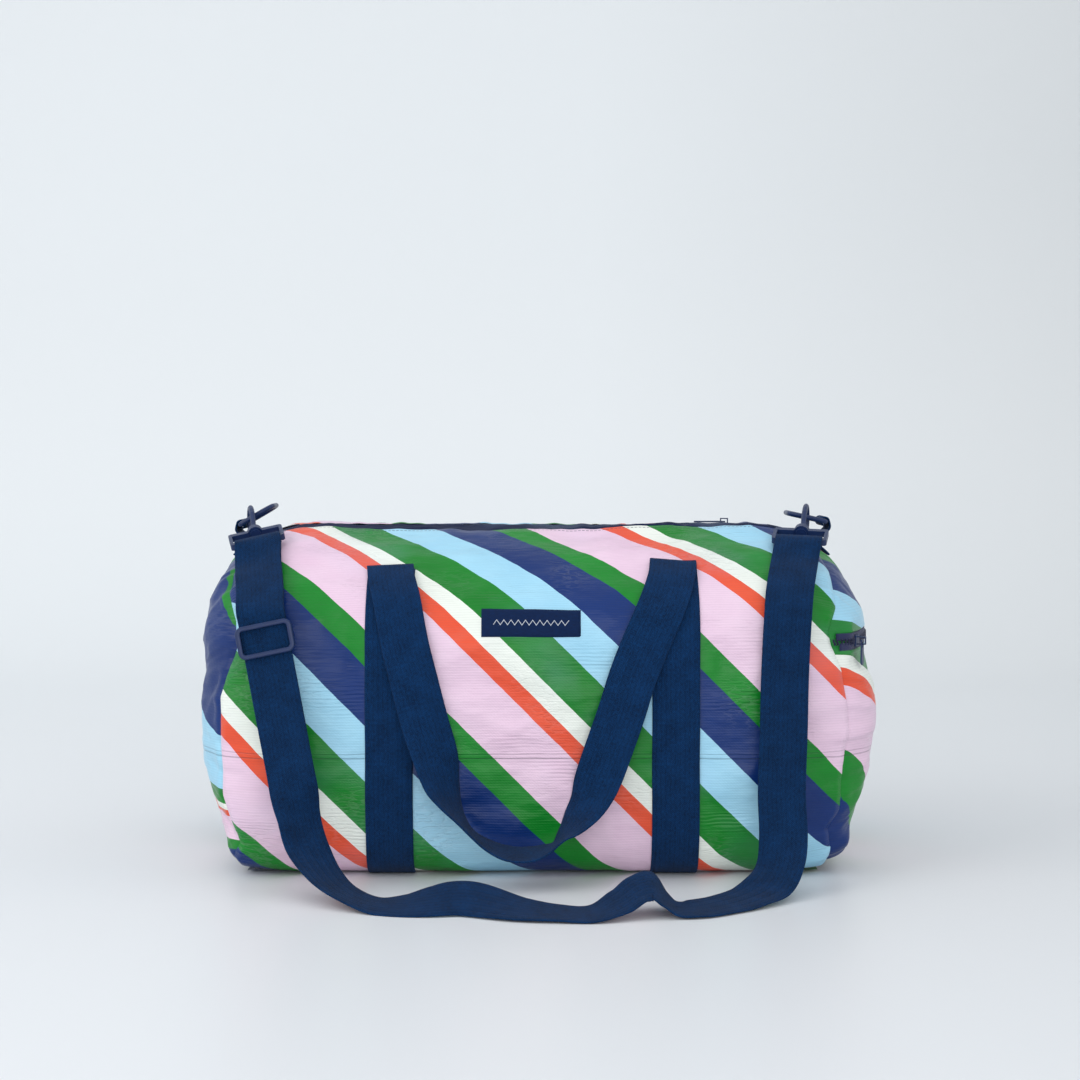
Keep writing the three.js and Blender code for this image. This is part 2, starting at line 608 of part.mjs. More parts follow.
// ---- shoulder strap ----
// The straight stretch that the adjuster slides on.
const GLIDE_AT = V(-211, -150, 195);
const GLIDE_END = V(-182.6, -173, 58.5);
const glideAlong = GLIDE_END.clone().sub(GLIDE_AT).normalize();
const onGlide = (distance) => GLIDE_AT.clone().addScaledVector(glideAlong, distance);

const BAR = FRAME.end - FRAME.bar / 2;      // centre of a frame's strap bar
const TURN = FRAME.bar / 2 + 0.7 + WEB_T / 2;
const leftAcross = leftHook.frameAcross.clone().multiplyScalar(-1);
const STRAP = [
  [atHook(leftHook, BAR, -TURN - 0.4), leftAcross],
  [atHook(leftHook, BAR - 3, -TURN + 0.6), leftAcross],
  [atHook(leftHook, BAR - TURN - 0.4, 0), leftAcross],
  [atHook(leftHook, BAR - 3, TURN - 0.6), leftAcross],
  [atHook(leftHook, BAR, TURN + 0.4), leftAcross],
  [atHook(leftHook, BAR + 6, TURN), leftAcross],
  [V(-224, -100, 256), V(1, -0.05, 0.2)],
  [V(-220.5, -118, 244), V(1, 0, 0.1)],
  [V(-217.5, -134, 231.5), V(1, 0, 0.05)],
  [onGlide(-24), V(1, 0, 0)],
  [onGlide(-14), V(1, 0, 0)],
  [onGlide(0), V(1, 0, 0)],
  [onGlide(34), V(1, 0, 0)],
  [onGlide(70), V(1, 0, 0)],
  [onGlide(104), V(1, 0, 0)],
  [onGlide(124), V(1, 0, 0)],
  [onGlide(142), V(1, 0, 0.02)],
  [V(-175, -184, 38), V(0.95, 0.12, 0.3)],
  [V(-163, -198, 23.5), V(0.8, 0.45, 0.4)],
  [V(-146, -215, 14), V(0.45, 0.85, 0.28)],
  [V(-119, -226, 8.4), V(0, 0.98, 0.16)],
  [V(-75, -246, 10.6), V(0, 0.9, 0.43)],
  [V(-51, -245, 11.2), V(0, 0.87, 0.5)],
  [V(-8, -259.5, 5.6), V(0, 0.98, 0.2)],
  [V(20, -263, 3.9), V(0, 1, 0.07)],
  [V(49, -265, 5.8), V(0, 0.98, 0.17)],
  [V(72, -258, 16.5), V(0, 0.93, 0.37)],
  [V(87, -250, 21.5), V(0, 0.91, 0.42)],
  [V(99, -250, 14.9), V(0, 0.94, 0.34)],
  [V(112, -252, 7.6), V(0, 0.98, 0.17)],
  [V(140, -235, 8.1), V(0.1, 0.97, 0.24)],
  [V(165, -216, 9.6), V(0, 0.93, 0.33)],
  [V(181, -201, 14), V(-0.35, 0.8, 0.5)],
  [V(190.5, -186, 26), V(-0.75, 0.4, 0.5)],
  [V(195.5, -172, 43), V(-0.95, 0.1, 0.3)],
  [V(196.5, -161, 73), V(-1, 0, 0)],
  [V(198.5, -154, 122), V(-1, 0, 0)],
  [V(200, -149, 167), V(-1, 0, 0)],
  [V(201.5, -146, 195), V(-1, 0, 0)],
  [V(203.5, -140, 217), V(-1, 0, 0)],
  [V(206, -130, 233), V(-1, 0, 0)],
  [V(210, -115, 247), V(-1, 0, 0)],
  [V(214, -100, 258), V(-1, 0, 0.03)],
  [atHook(rightHook, BAR + 6, TURN), rightHook.frameAcross],
  [atHook(rightHook, BAR, TURN + 0.4), rightHook.frameAcross],
  [atHook(rightHook, BAR - 3, TURN - 0.6), rightHook.frameAcross],
  [atHook(rightHook, BAR - TURN - 0.4, 0), rightHook.frameAcross],
  [atHook(rightHook, BAR - 3, -TURN + 0.6), rightHook.frameAcross],
  [atHook(rightHook, BAR, -TURN - 0.4), rightHook.frameAcross],
];
add('shoulder_strap', ribbon(STRAP, 96), navyWeb());

// ---- tri-glide adjuster: local x across the strap, y down it, z out of it ----
const glideAcross = V(-1, 0, 0).addScaledVector(glideAlong, glideAlong.x).normalize();
const glideOut = V(0, 0, 0).crossVectors(glideAcross, glideAlong);
function triGlide() {
  const { half, halfHeight, depth, bar } = GLIDE;
  const rail = half - 2.4;
  const frontLow = WEB_T / 2 + 0.5;
  return union(
    box(-half, -rail, -halfHeight, halfHeight, -depth, depth),
    box(rail, half, -halfHeight, halfHeight, -depth, depth),
    box(-half, half, -halfHeight, -halfHeight + bar, frontLow, depth),
    box(-half, half, halfHeight - bar, halfHeight, frontLow, depth),
    box(-half, half, -bar / 2, bar / 2, -depth, -frontLow),
  );
}
const glide = add('tri_glide', triGlide(), plastic());
glide.position.copy(GLIDE_AT);
glide.quaternion.setFromRotationMatrix(new THREE.Matrix4().makeBasis(glideAcross, glideAlong, glideOut));

const strapFrame = frameAlong(STRAP);
/** Station behind the strap at a station of its own route. */
function behindStrap(station, depth) {
  const { centre, across, normal } = strapFrame(station);
  return [centre.addScaledVector(normal, -depth), across];
}
const behindGlide = (distance, depth) =>
  [onGlide(distance).addScaledVector(glideOut, -depth), V(1, 0, 0)];

// Doubled layer between the left hook and the adjuster, round the adjuster's centre bar.
const UNDER = WEB_T + 1.2;
const PAST_BAR = GLIDE.depth + WEB_T;
add('strap_return', ribbon([
  ...[5.5, 6, 6.5, 7, 7.5, 8, 8.5, 9, 9.5].map((station) => behindStrap(station, UNDER)),
  behindGlide(-15, UNDER),
  behindGlide(-10, UNDER + 1.6),
  behindGlide(-4, PAST_BAR),
  behindGlide(3, PAST_BAR),
  behindGlide(10, PAST_BAR - WEB_T),
], 36), navyWeb());

// Sewn-back end of the strap under its right end.
const LAST = STRAP.length - 1;
add('strap_end_fold', ribbon(
  [5.5, 6, 6.5, 7, 7.5, 8, 8.5, 9, 9.5].map((back) => behindStrap(LAST - back, UNDER)), 20), navyWeb());

export default bag;
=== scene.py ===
"""Weekender bag in striped laminated fabric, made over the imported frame.

Lengths are in millimetres until a mesh is made.
"""
import math
import bpy
import numpy as np
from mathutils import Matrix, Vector, noise
from mathutils.bvhtree import BVHTree


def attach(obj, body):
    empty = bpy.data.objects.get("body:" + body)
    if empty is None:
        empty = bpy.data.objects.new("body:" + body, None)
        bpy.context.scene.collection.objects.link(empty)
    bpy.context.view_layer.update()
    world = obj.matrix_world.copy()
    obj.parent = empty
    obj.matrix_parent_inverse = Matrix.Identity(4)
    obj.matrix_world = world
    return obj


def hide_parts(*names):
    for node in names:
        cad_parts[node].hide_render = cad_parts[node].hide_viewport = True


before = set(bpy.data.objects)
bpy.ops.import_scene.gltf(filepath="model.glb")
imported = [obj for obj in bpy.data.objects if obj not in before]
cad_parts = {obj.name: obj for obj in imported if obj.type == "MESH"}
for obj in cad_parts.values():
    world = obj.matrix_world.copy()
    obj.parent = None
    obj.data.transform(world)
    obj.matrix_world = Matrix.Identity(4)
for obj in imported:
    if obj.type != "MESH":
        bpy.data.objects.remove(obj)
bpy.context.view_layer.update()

# ---- camera, at the photograph's place ----
def set_camera():
    data = bpy.data.cameras.new("camera")
    data.sensor_width = 36
    data.lens = 65.6
    camera = bpy.data.objects.new("camera", data)
    camera.location = (0.006, -1.700, 0.345)
    camera.rotation_euler = (math.radians(87.37), 0, 0)
    bpy.context.scene.collection.objects.link(camera)
    bpy.context.scene.camera = camera
    bpy.context.scene.view_settings.view_transform = "Standard"


set_camera()


# ---- node helpers ----
class Tree:
    """Small builder for one material's nodes."""

    def __init__(self, name):
        self.material = bpy.data.materials.new(name)
        self.material.use_nodes = True
        self.tree = self.material.node_tree
        self.shader = self.tree.nodes["Principled BSDF"]

    def node(self, kind, settings=None, **inputs):
        made = self.tree.nodes.new(kind)
        for key, value in (settings or {}).items():
            setattr(made, key, value)
        for key, value in inputs.items():
            self.put(made.inputs[int(key[1:])] if key[0] == "i" else made.inputs[key], value)
        return made

    def put(self, socket, value):
        if isinstance(value, bpy.types.NodeSocket):
            self.tree.links.new(value, socket)
        else:
            socket.default_value = value

    def math(self, operation, a, b=0.0, c=0.0, clamp=False):
        made = self.node("ShaderNodeMath", {"operation": operation, "use_clamp": clamp})
        for socket, value in zip(made.inputs, (a, b, c)):
            self.put(socket, value)
        return made.outputs[0]

    def uv(self):
        """The surface's own coordinates in metres, as (across, along) sockets and a vector."""
        made = self.node("ShaderNodeUVMap", {"uv_map": "cloth"})
        split = self.node("ShaderNodeSeparateXYZ", i0=made.outputs[0])
        return split.outputs[0], split.outputs[1], made.outputs[0]

    def noise(self, vector, scale, detail=2.0, stretch=None):
        if stretch:
            vector = self.node("ShaderNodeVectorMath", {"operation": "MULTIPLY"}, i0=vector, i1=stretch)
            vector = vector.outputs[0]
        return self.node("ShaderNodeTexNoise", Vector=vector, Scale=scale, Detail=detail).outputs[0]

    def mix(self, factor, a, b, blend="MIX"):
        made = self.node("ShaderNodeMix", {"data_type": "RGBA", "blend_type": blend})
        self.put(made.inputs[0], factor)
        self.put(made.inputs[6], a)
        self.put(made.inputs[7], b)
        return made.outputs[2]

    def ramp(self, factor, stops, interpolation="LINEAR"):
        made = self.node("ShaderNodeValToRGB", i0=factor)
        made.color_ramp.interpolation = interpolation
        elements = made.color_ramp.elements
        while len(elements) < len(stops):
            elements.new(0.5)
        for element, (place, colour) in zip(elements, stops):
            element.position = place
            element.color = colour
        return made.outputs[0]

    def bump(self, height, distance, strength=1.0, normal=None):
        made = self.node("ShaderNodeBump", Height=height, Distance=distance, Strength=strength)
        if normal:
            self.put(made.inputs["Normal"], normal)
        return made.outputs[0]

    def wave(self, value, period):
        """Sine of one coordinate, from -1 to 1, with the given period in metres."""
        return self.math("SINE", self.math("MULTIPLY", value, 2 * math.pi / period))

    def set(self, **values):
        for key, value in values.items():
            self.put(self.shader.inputs[key.replace("_", " ")], value)
        return self.material


def srgb(r, g, b):
    return tuple((c / 12.92 if c <= 0.04045 else ((c + 0.055) / 1.055) ** 2.4)
                 for c in (r / 255, g / 255, b / 255)) + (1.0,)


# ---- materials ----
PERIOD = 0.2657          # one repeat of the stripes, across + along the cloth, in metres
PHASE = 0.1305           # where the repeat starts on the front wall
# Each line's strength sets its crease depth and also how much painted shade darkens it.
PRESS_LINES = ((0.0988, 1.0), (0.1022, 0.6))    # height and strength of the lines where it was folded flat
STITCH_ROW = 0.3366      # lockstitches under the top seam
STITCH = 0.0034
STRIPES = [
    (0.0, srgb(227, 84, 53)), (0.0180, srgb(231, 236, 228)), (0.0385, srgb(8, 123, 33)),
    (0.0812, srgb(158, 209, 232)), (0.1262, srgb(4, 44, 108)), (0.1742, srgb(9, 127, 35)),
    (0.2027, srgb(227, 198, 218)),
]


def printed_fabric(name="printed_laminate", plain=None):
    """Laminated woven polypropylene with diagonal stripes, or all of one plain colour."""
    t = Tree(name)
    across, along, vector = t.uv()
    wobble = t.math("MULTIPLY", t.math("SUBTRACT", t.noise(vector, 60, 3), 0.5), 0.0014)
    c = t.math("ADD", t.math("ADD", across, along), wobble)
    c = t.math("FRACT", t.math("DIVIDE", t.math("SUBTRACT", c, PHASE), PERIOD))
    colour = plain or t.ramp(c, [(d / PERIOD, k) for d, k in STRIPES], "CONSTANT")
    tone = t.ramp(t.noise(vector, 20, 4), [(0.3, (0.36, 0.36, 0.37, 1)), (0.7, (0.62, 0.62, 0.62, 1))])
    colour = t.mix(0.5, colour, tone, "SOFT_LIGHT")
    lines = t.wave(t.math("ADD", along, t.math("MULTIPLY", t.noise(vector, 16, 2), 0.0012)), 0.0021)
    colour = t.mix(t.math("MULTIPLY", t.math("MAXIMUM", lines, 0.0), 0.07), colour, (0.05, 0.07, 0.08, 1))
    # Painted sheen: pale blue patches mixed into the colour, standing in for gloss reflections on the
    # dents.
    painted_sheen = t.ramp(t.noise(vector, 8.5, 3), [(0.52, (0, 0, 0, 1)), (0.68, (1, 1, 1, 1))])
    colour = t.mix(t.math("MULTIPLY", painted_sheen, 0.09), colour, (0.45, 0.60, 0.85, 1))
    # Fine sharp creases, longest across the fabric, seen in patches.
    fine = t.math("ABSOLUTE", t.math("SUBTRACT", t.noise(vector, 70, 3, (1, 3.0, 1)), 0.5))
    fine = t.math("SUBTRACT", 1.0, t.math("MULTIPLY", fine, 16), clamp=True)
    patch = t.ramp(t.noise(vector, 11, 2), [(0.50, (0, 0, 0, 1)), (0.66, (1, 1, 1, 1))])
    crease = t.math("MULTIPLY", fine, patch)
    colour = t.mix(t.math("MULTIPLY", crease, 0.05), colour, (0.9, 0.92, 0.95, 1))
    # Bands of pressed ribs across the fabric, and the two sharp lines where it was folded flat, with
    # painted shade in those creases.
    drift = t.math("MULTIPLY", t.noise(vector, 26, 2), 0.006)
    ribs = t.wave(t.math("ADD", along, drift), 0.0030)
    where = t.ramp(t.noise(vector, 10, 2, (0.7, 1.6, 1)), [(0.52, (0, 0, 0, 1)), (0.66, (1, 1, 1, 1))])
    ribs = t.math("MULTIPLY", ribs, where)
    press = 0.0
    for line, weight in PRESS_LINES:
        gap = t.math("SUBTRACT", t.math("ADD", along, t.math("MULTIPLY", wobble, 0.5)), line)
        gap = t.math("SUBTRACT", 1.0, t.math("MULTIPLY", t.math("ABSOLUTE", gap), 1500), clamp=True)
        press = t.math("ADD", press, t.math("MULTIPLY", gap, weight))
    # Painted shade: the fold lines are mixed towards dark grey, standing in for the shadow in the crease.
    colour = t.mix(t.math("MULTIPLY", press, 0.22), colour, (0.10, 0.12, 0.14, 1))
    weave = t.math("MULTIPLY", t.wave(across, 0.0024), t.wave(along, 0.0024))
    dents = t.noise(vector, 34, 2, (1, 2.2, 1))
    normal = t.bump(weave, 0.00002)
    normal = t.bump(lines, 0.00003, 1.0, normal)
    normal = t.bump(ribs, 0.00018, 1.0, normal)
    normal = t.bump(t.math("MULTIPLY", crease, -1.0), 0.00035, 1.0, normal)
    normal = t.bump(press, -0.0006, 1.0, normal)
    normal = t.bump(dents, 0.0016, 1.0, normal)
    # A row of lockstitches under the top seam.
    stitch = t.math("FRACT", t.math("DIVIDE", across, STITCH))
    stitch = t.math("LESS_THAN", t.math("ABSOLUTE", t.math("SUBTRACT", stitch, 0.5)), 0.32)
    row = t.math("ABSOLUTE", t.math("SUBTRACT", along, STITCH_ROW))
    stitch = t.math("MULTIPLY", stitch, t.math("LESS_THAN", row, 0.00035))
    colour = t.mix(t.math("MULTIPLY", stitch, 0.8), colour, srgb(24, 36, 70))
    normal = t.bump(stitch, 0.0004, 1.0, normal)
    rough = t.math("ADD", 0.25, t.math("MULTIPLY", t.noise(vector, 40, 3), 0.16))
    if plain:
        rough = t.math("ADD", rough, 0.35)
    return t.set(Base_Color=colour, Roughness=rough, Normal=normal, Coat_Weight=0.0 if plain else 0.04,
                 Coat_Roughness=0.3, Specular_IOR_Level=0.08 if plain else 0.27)


def webbing(name="navy_webbing", tint=srgb(7, 42, 80), column=0.0038, sewn=False):
    """Herringbone webbing; across runs from -width/2 to width/2 and the twill turns at each column."""
    t = Tree(name)
    across, along, vector = t.uv()
    fold = t.math("PINGPONG", t.math("ADD", across, 1.0), column)
    twill = t.wave(t.math("ADD", along, fold), 0.0017)
    groove_dip_and_shade = t.math("COSINE", t.math("MULTIPLY", fold, math.pi / column))
    groove_dip_and_shade = t.math("POWER", t.math("ABSOLUTE", groove_dip_and_shade), 7)
    yarn = t.noise(vector, 1000, 3, (1, 0.45, 1))
    fuzz = t.noise(vector, 70, 4)
    height = t.math("ADD", t.math("MULTIPLY", twill, 0.45), t.math("MULTIPLY", yarn, 0.9))
    height = t.math("SUBTRACT", height, t.math("MULTIPLY", groove_dip_and_shade, 0.5))
    shade = t.math("ADD", t.math("MULTIPLY", twill, 0.09), t.math("MULTIPLY", yarn, 0.8))
    shade = t.math("ADD", shade, t.math("MULTIPLY", fuzz, 0.42))
    # Painted shade: the colour is a little darker in the groove between the herringbone columns.
    shade = t.math("SUBTRACT", shade, t.math("MULTIPLY", groove_dip_and_shade, 0.07))
    shade = t.math("SUBTRACT", shade, 0.14)
    normal = t.bump(height, 0.00022)
    if sewn:
        row = t.math("ABSOLUTE", t.math("SUBTRACT", t.math("ABSOLUTE", across), 0.0166))
        dash = t.math("FRACT", t.math("DIVIDE", along, 0.0032))
        dash = t.math("LESS_THAN", t.math("ABSOLUTE", t.math("SUBTRACT", dash, 0.5)), 0.33)
        dash = t.math("MULTIPLY", dash, t.math("LESS_THAN", row, 0.0004))
        normal = t.bump(dash, 0.0005, 1.0, normal)
        sink = t.math("SUBTRACT", 1.0, t.math("MULTIPLY", row, 700), clamp=True)
        normal = t.bump(sink, -0.0004, 1.0, normal)
    dark = tuple(c * 0.42 for c in tint[:3]) + (1,)
    light = tuple(min(1, c * 1.7) for c in tint[:3]) + (1,)
    colour = t.ramp(shade, [(0.2, dark), (0.75, light)])
    rough = t.math("ADD", 0.82, t.math("MULTIPLY", yarn, 0.15))
    return t.set(Base_Color=colour, Roughness=rough, Normal=normal, Sheen_Weight=0.04,
                 Sheen_Roughness=0.5, Specular_IOR_Level=0.1)


def plastic():
    """Moulded navy acetal with a fine spark-eroded texture."""
    t = Tree("moulded_plastic")
    place = t.node("ShaderNodeTexCoord").outputs["Object"]
    grain = t.noise(place, 2600, 2)
    cloud = t.noise(place, 120, 3)
    colour = t.mix(cloud, srgb(13, 33, 72), srgb(20, 45, 90))
    rough = t.math("ADD", 0.30, t.math("MULTIPLY", cloud, 0.16))
    return t.set(Base_Color=colour, Roughness=rough, Normal=t.bump(grain, 0.00004, 0.6),
                 Coat_Weight=0.06, Coat_Roughness=0.3, Specular_IOR_Level=0.35)


def knit(name, tint, pitch=0.0009):
    """Knitted zip tape or binding."""
    t = Tree(name)
    across, along, vector = t.uv()
    loops = t.math("MULTIPLY", t.wave(across, pitch), t.wave(along, pitch * 1.4))
    fuzz = t.noise(vector, 500, 3)
    dark = tuple(c * 0.7 for c in tint[:3]) + (1,)
    light = tuple(min(1, c * 1.5) for c in tint[:3]) + (1,)
    colour = t.mix(fuzz, dark, light)
    rough = t.math("ADD", 0.75, t.math("MULTIPLY", fuzz, 0.2))
    return t.set(Base_Color=colour, Roughness=rough, Normal=t.bump(loops, 0.00012), Sheen_Weight=0.15)


def label_cloth():
    """Damask label: navy with a plain off-white zigzag line and a woven edge."""
    t = Tree("label_damask")
    across, along, vector = t.uv()
    rib = t.wave(along, 0.00055)
    slub = t.noise(vector, 700, 2, (0.4, 1, 1))
    base = t.mix(slub, srgb(4, 24, 58), srgb(10, 40, 84))
    zig = t.math("SUBTRACT", t.math("PINGPONG", t.math("ADD", across, 0.5), 0.0028), 0.0014)
    near = t.math("ABSOLUTE", t.math("SUBTRACT", along, t.math("MULTIPLY", zig, 1.3)))
    inside = t.math("LESS_THAN", t.math("ABSOLUTE", across), 0.0295)
    line = t.math("MULTIPLY", t.math("LESS_THAN", near, 0.00042), inside)
    colour = t.mix(t.math("MULTIPLY", line, 0.85), base, srgb(214, 220, 228))
    height = t.math("ADD", t.math("MULTIPLY", rib, 0.5), t.math("ADD", slub, line))
    rough = t.math("ADD", 0.5, t.math("MULTIPLY", slub, 0.25))
    return t.set(Base_Color=colour, Roughness=rough, Normal=t.bump(height, 0.00015), Sheen_Weight=0.03,
                 Specular_IOR_Level=0.12)


FABRIC = printed_fabric()
NAVY_FABRIC = printed_fabric("plain_navy_laminate", srgb(5, 20, 60))
WEB = webbing()
SEWN_WEB = webbing("sewn_webbing", sewn=True)
STRAP_WEB = webbing("strap_webbing", srgb(7, 40, 76), 0.0036)
PLASTIC = plastic()
TAPE = knit("zip_tape_knit", srgb(24, 33, 74))
LABEL = label_cloth()
COIL = knit("zip_coil_nylon", srgb(18, 26, 60), 0.0012)


# ---- mesh helpers ----
def make(name, verts, faces, uvs, material, body, nodes=(), smooth=True):
    """Mesh object from points in millimetres; uvs are metres, one per point."""
    mesh = bpy.data.meshes.new(name)
    mesh.from_pydata([tuple(v) for v in np.asarray(verts) * 0.001], [], faces)
    layer = mesh.uv_layers.new(name="cloth")
    order = np.empty(len(mesh.loops), np.int32)
    mesh.loops.foreach_get("vertex_index", order)
    layer.data.foreach_set("uv", np.asarray(uvs, np.float32)[order].ravel())
    mesh.polygons.foreach_set("use_smooth", [smooth] * len(mesh.polygons))
    mesh.materials.append(material)
    obj = bpy.data.objects.new(name, mesh)
    bpy.context.scene.collection.objects.link(obj)
    if body:
        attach(obj, body)
    if nodes:
        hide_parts(*nodes)
    return obj


def grid_faces(rows, columns, flip=False, wrap=False):
    faces = []
    for i in range(rows - 1):
        for j in range(columns if wrap else columns - 1):
            k = (j + 1) % columns
            quad = (i * columns + j, (i + 1) * columns + j, (i + 1) * columns + k, i * columns + k)
            faces.append(quad[::-1] if flip else quad)
    return faces


def smooth_points(points, count):
    """Evenly spaced points on a smooth curve through rows that start with a place."""
    p = np.asarray(points, float)
    d = np.maximum(np.linalg.norm(np.diff(p[:, :3], axis=0), axis=1), 1e-6) ** 0.5
    t = np.concatenate([[0], np.cumsum(d)])
    slope = np.diff(p, axis=0) / d[:, None]
    m = np.empty_like(p)
    m[1:-1] = (slope[:-1] * d[1:, None] + slope[1:] * d[:-1, None]) / (d[1:] + d[:-1])[:, None]
    m[0] = slope[0]
    m[-1] = slope[-1]
    fine = np.linspace(0, t[-1], 60 * len(p))
    i = np.clip(np.searchsorted(t, fine, side="right") - 1, 0, len(d) - 1)
    s = ((fine - t[i]) / d[i])[:, None]
    h = d[i][:, None]
    curve = ((1 + 2 * s) * (1 - s) ** 2 * p[i] + s * (1 - s) ** 2 * h * m[i]
             + s * s * (3 - 2 * s) * p[i + 1] + s * s * (s - 1) * h * m[i + 1])
    run = np.concatenate([[0], np.cumsum(np.linalg.norm(np.diff(curve[:, :3], axis=0), axis=1))])
    at = np.linspace(0, run[-1], count)
    return np.stack([np.interp(at, run, curve[:, k]) for k in range(p.shape[1])], axis=1), at


def unit(v):
    return v / np.linalg.norm(v, axis=-1, keepdims=True)


def ribbon(name, stations, material, body, nodes=(), width=38.0, thick=1.5, spacing=2.6, shape=None,
           start=0.0):
    """Woven strap along (place, width direction) stations. shape(a, s, total) moves it along its normal."""
    rows = np.array([list(p) + list(unit(np.array(w, float))) for p, w in stations], float)
    length = np.linalg.norm(np.diff(rows[:, :3], axis=0), axis=1).sum()
    samples, s = smooth_points(rows, max(6, int(length / spacing)))
    centre = samples[:, :3]
    along = unit(np.gradient(centre, axis=0))
    across = samples[:, 3:]
    across = unit(across - along * (across * along).sum(1, keepdims=True))
    normal = np.cross(along, across)
    half = width / 2
    flat = np.linspace(-half + 0.7, half - 0.7, 11)
    profile = [(a, 0.5) for a in flat] + [(half - 0.1, 0.3), (half, 0), (half - 0.1, -0.3)]
    profile += [(a, -0.5) for a in flat[::-1]] + [(-half + 0.1, -0.3), (-half, 0), (-half + 0.1, 0.3)]
    verts = []
    uvs = []
    for i in range(len(s)):
        for a, n in profile:
            lift = shape(a / half, s[i], s[-1]) if shape else 0.0
            place = centre[i] + across[i] * a + normal[i] * (n * thick + lift)
            place[2] = max(0.2, place[2])
            verts.append(place)
            uvs.append((a * 0.001, (s[i] + start) * 0.001))
    k = len(profile)
    faces = grid_faces(len(s), k, wrap=True)
    faces.append(tuple(range(k)))
    faces.append(tuple(range((len(s) - 1) * k, len(s) * k))[::-1])
    obj = make(name, verts, faces, uvs, material, body, nodes)
    obj["run"] = float(s[-1])
    return obj, centre, s[-1]


# ---- straps first: the shoulder strap's own route ----
HOOKS = {
    "left": dict(at=(-240.9, -21.5, 286.2), along=(14.5, -59, -16.8), roll=0.22),
    "right": dict(at=(233, -21.5, 287.6), along=(-13.5, -58.5, -17.5), roll=-0.04),
}
for hook in HOOKS.values():
    hook["at"] = np.array(hook["at"], float)
    hook["along"] = unit(np.array(hook["along"], float))
    up = np.array([0, 0, 1.0]) - hook["along"] * hook["along"][2]
    across = np.cross(hook["along"], unit(up))
    turn, axis = hook["roll"], hook["along"]
    hook["up"] = unit(up) * math.cos(turn) + np.cross(axis, unit(up)) * math.sin(turn)
    hook["across"] = across * math.cos(turn) + np.cross(axis, across) * math.sin(turn)
BAR, TURN = 63.5, 4.0
GLIDE_AT = np.array([-211, -150, 195.0])
GLIDE_ALONG = unit(np.array([28.4, -23, -136.5]))
GLIDE_ACROSS = unit(np.array([-1.0, 0, 0]) + GLIDE_ALONG * GLIDE_ALONG[0])
GLIDE_OUT = np.cross(GLIDE_ACROSS, GLIDE_ALONG)


def at_hook(side, s, n):
    hook = HOOKS[side]
    return tuple(hook["at"] + hook["along"] * s + hook["up"] * n)


def on_glide(distance, depth=0.0):
    return tuple(GLIDE_AT + GLIDE_ALONG * distance - GLIDE_OUT * depth)


LEFT_ACROSS = tuple(-HOOKS["left"]["across"])
RIGHT_ACROSS = tuple(HOOKS["right"]["across"])
STRAP = [
    (at_hook("left", BAR, -TURN - 0.4), LEFT_ACROSS), (at_hook("left", BAR - 3, -TURN + 0.6), LEFT_ACROSS),
    (at_hook("left", BAR - TURN - 0.4, 0), LEFT_ACROSS),
    (at_hook("left", BAR - 3, TURN - 0.6), LEFT_ACROSS),
    (at_hook("left", BAR, TURN + 0.4), LEFT_ACROSS), (at_hook("left", BAR + 6, TURN), LEFT_ACROSS),
    ((-224, -100, 256), (1, -0.05, 0.2)), ((-220.5, -118, 244), (1, 0, 0.1)),
    ((-217.5, -134, 231.5), (1, 0, 0.05)), (on_glide(-24), (1, 0, 0)), (on_glide(-14), (1, 0, 0)),
    (on_glide(0), (1, 0, 0)), (on_glide(34), (1, 0, 0)), (on_glide(70), (1, 0, 0)),
    (on_glide(113), (1, 0, 0)), (on_glide(126), (0.94, 0.29, 0.1)), (on_glide(142), (0.76, 0.62, 0.2)),
    ((-175.5, -184, 38), (0.62, 0.73, 0.28)), ((-163.5, -199, 22.5), (0.42, 0.88, 0.14)),
    ((-146, -217, 10.5), (0.22, 0.96, 0.05)), ((-121, -234, 3.6), (0, 0.99, 0.06)),
    ((-98, -243, 4.6), (0, 0.97, 0.2)), ((-75, -246, 8.4), (0, 0.92, 0.38)),
    ((-51, -245, 10.6), (0, 0.87, 0.48)),
    ((-8, -259.5, 5.6), (0, 0.98, 0.2)), ((20, -263, 3.7), (0, 1, 0.07)),
    ((46, -264, 3.6), (0, 0.99, 0.11)), ((66, -258, 10.8), (0, 0.94, 0.34)),
    ((79, -252, 18.6), (0, 0.92, 0.4)),
    ((89, -250, 21), (0.03, 0.93, 0.36)), ((99.3, -250, 10.8), (0.14, 0.99, 0.02)),
    ((108.5, -251, 3.8), (0.03, 0.99, 0.05)), ((122, -249, 3.2), (0, 0.99, 0.09)),
    ((143, -236, 3.6), (0, 0.99, 0.1)), ((166, -219, 6), (-0.1, 0.97, 0.2)),
    ((184, -202, 12.5), (-0.42, 0.8, 0.4)), ((193, -186, 25), (-0.8, 0.5, 0.2)),
    ((196.5, -172, 43), (-0.97, 0.15, 0.1)), ((196.5, -161, 73), (-1, 0, 0)),
    ((198.5, -154, 122), (-1, 0, 0)), ((200, -149, 167), (-1, 0, 0)),
    ((201.5, -146, 195), (-1, 0, 0)), ((203.5, -140, 217), (-1, 0, 0)), ((206, -130, 233), (-1, 0, 0)),
    ((210, -115, 247), (-1, 0, 0)), ((214, -100, 258), (-1, 0, 0.03)),
    (at_hook("right", BAR + 6, TURN), RIGHT_ACROSS), (at_hook("right", BAR, TURN + 0.4), RIGHT_ACROSS),
    (at_hook("right", BAR - 3, TURN - 0.6), RIGHT_ACROSS),
    (at_hook("right", BAR - TURN - 0.4, 0), RIGHT_ACROSS),
    (at_hook("right", BAR - 3, -TURN + 0.6), RIGHT_ACROSS),
    (at_hook("right", BAR, -TURN - 0.4), RIGHT_ACROSS),
]


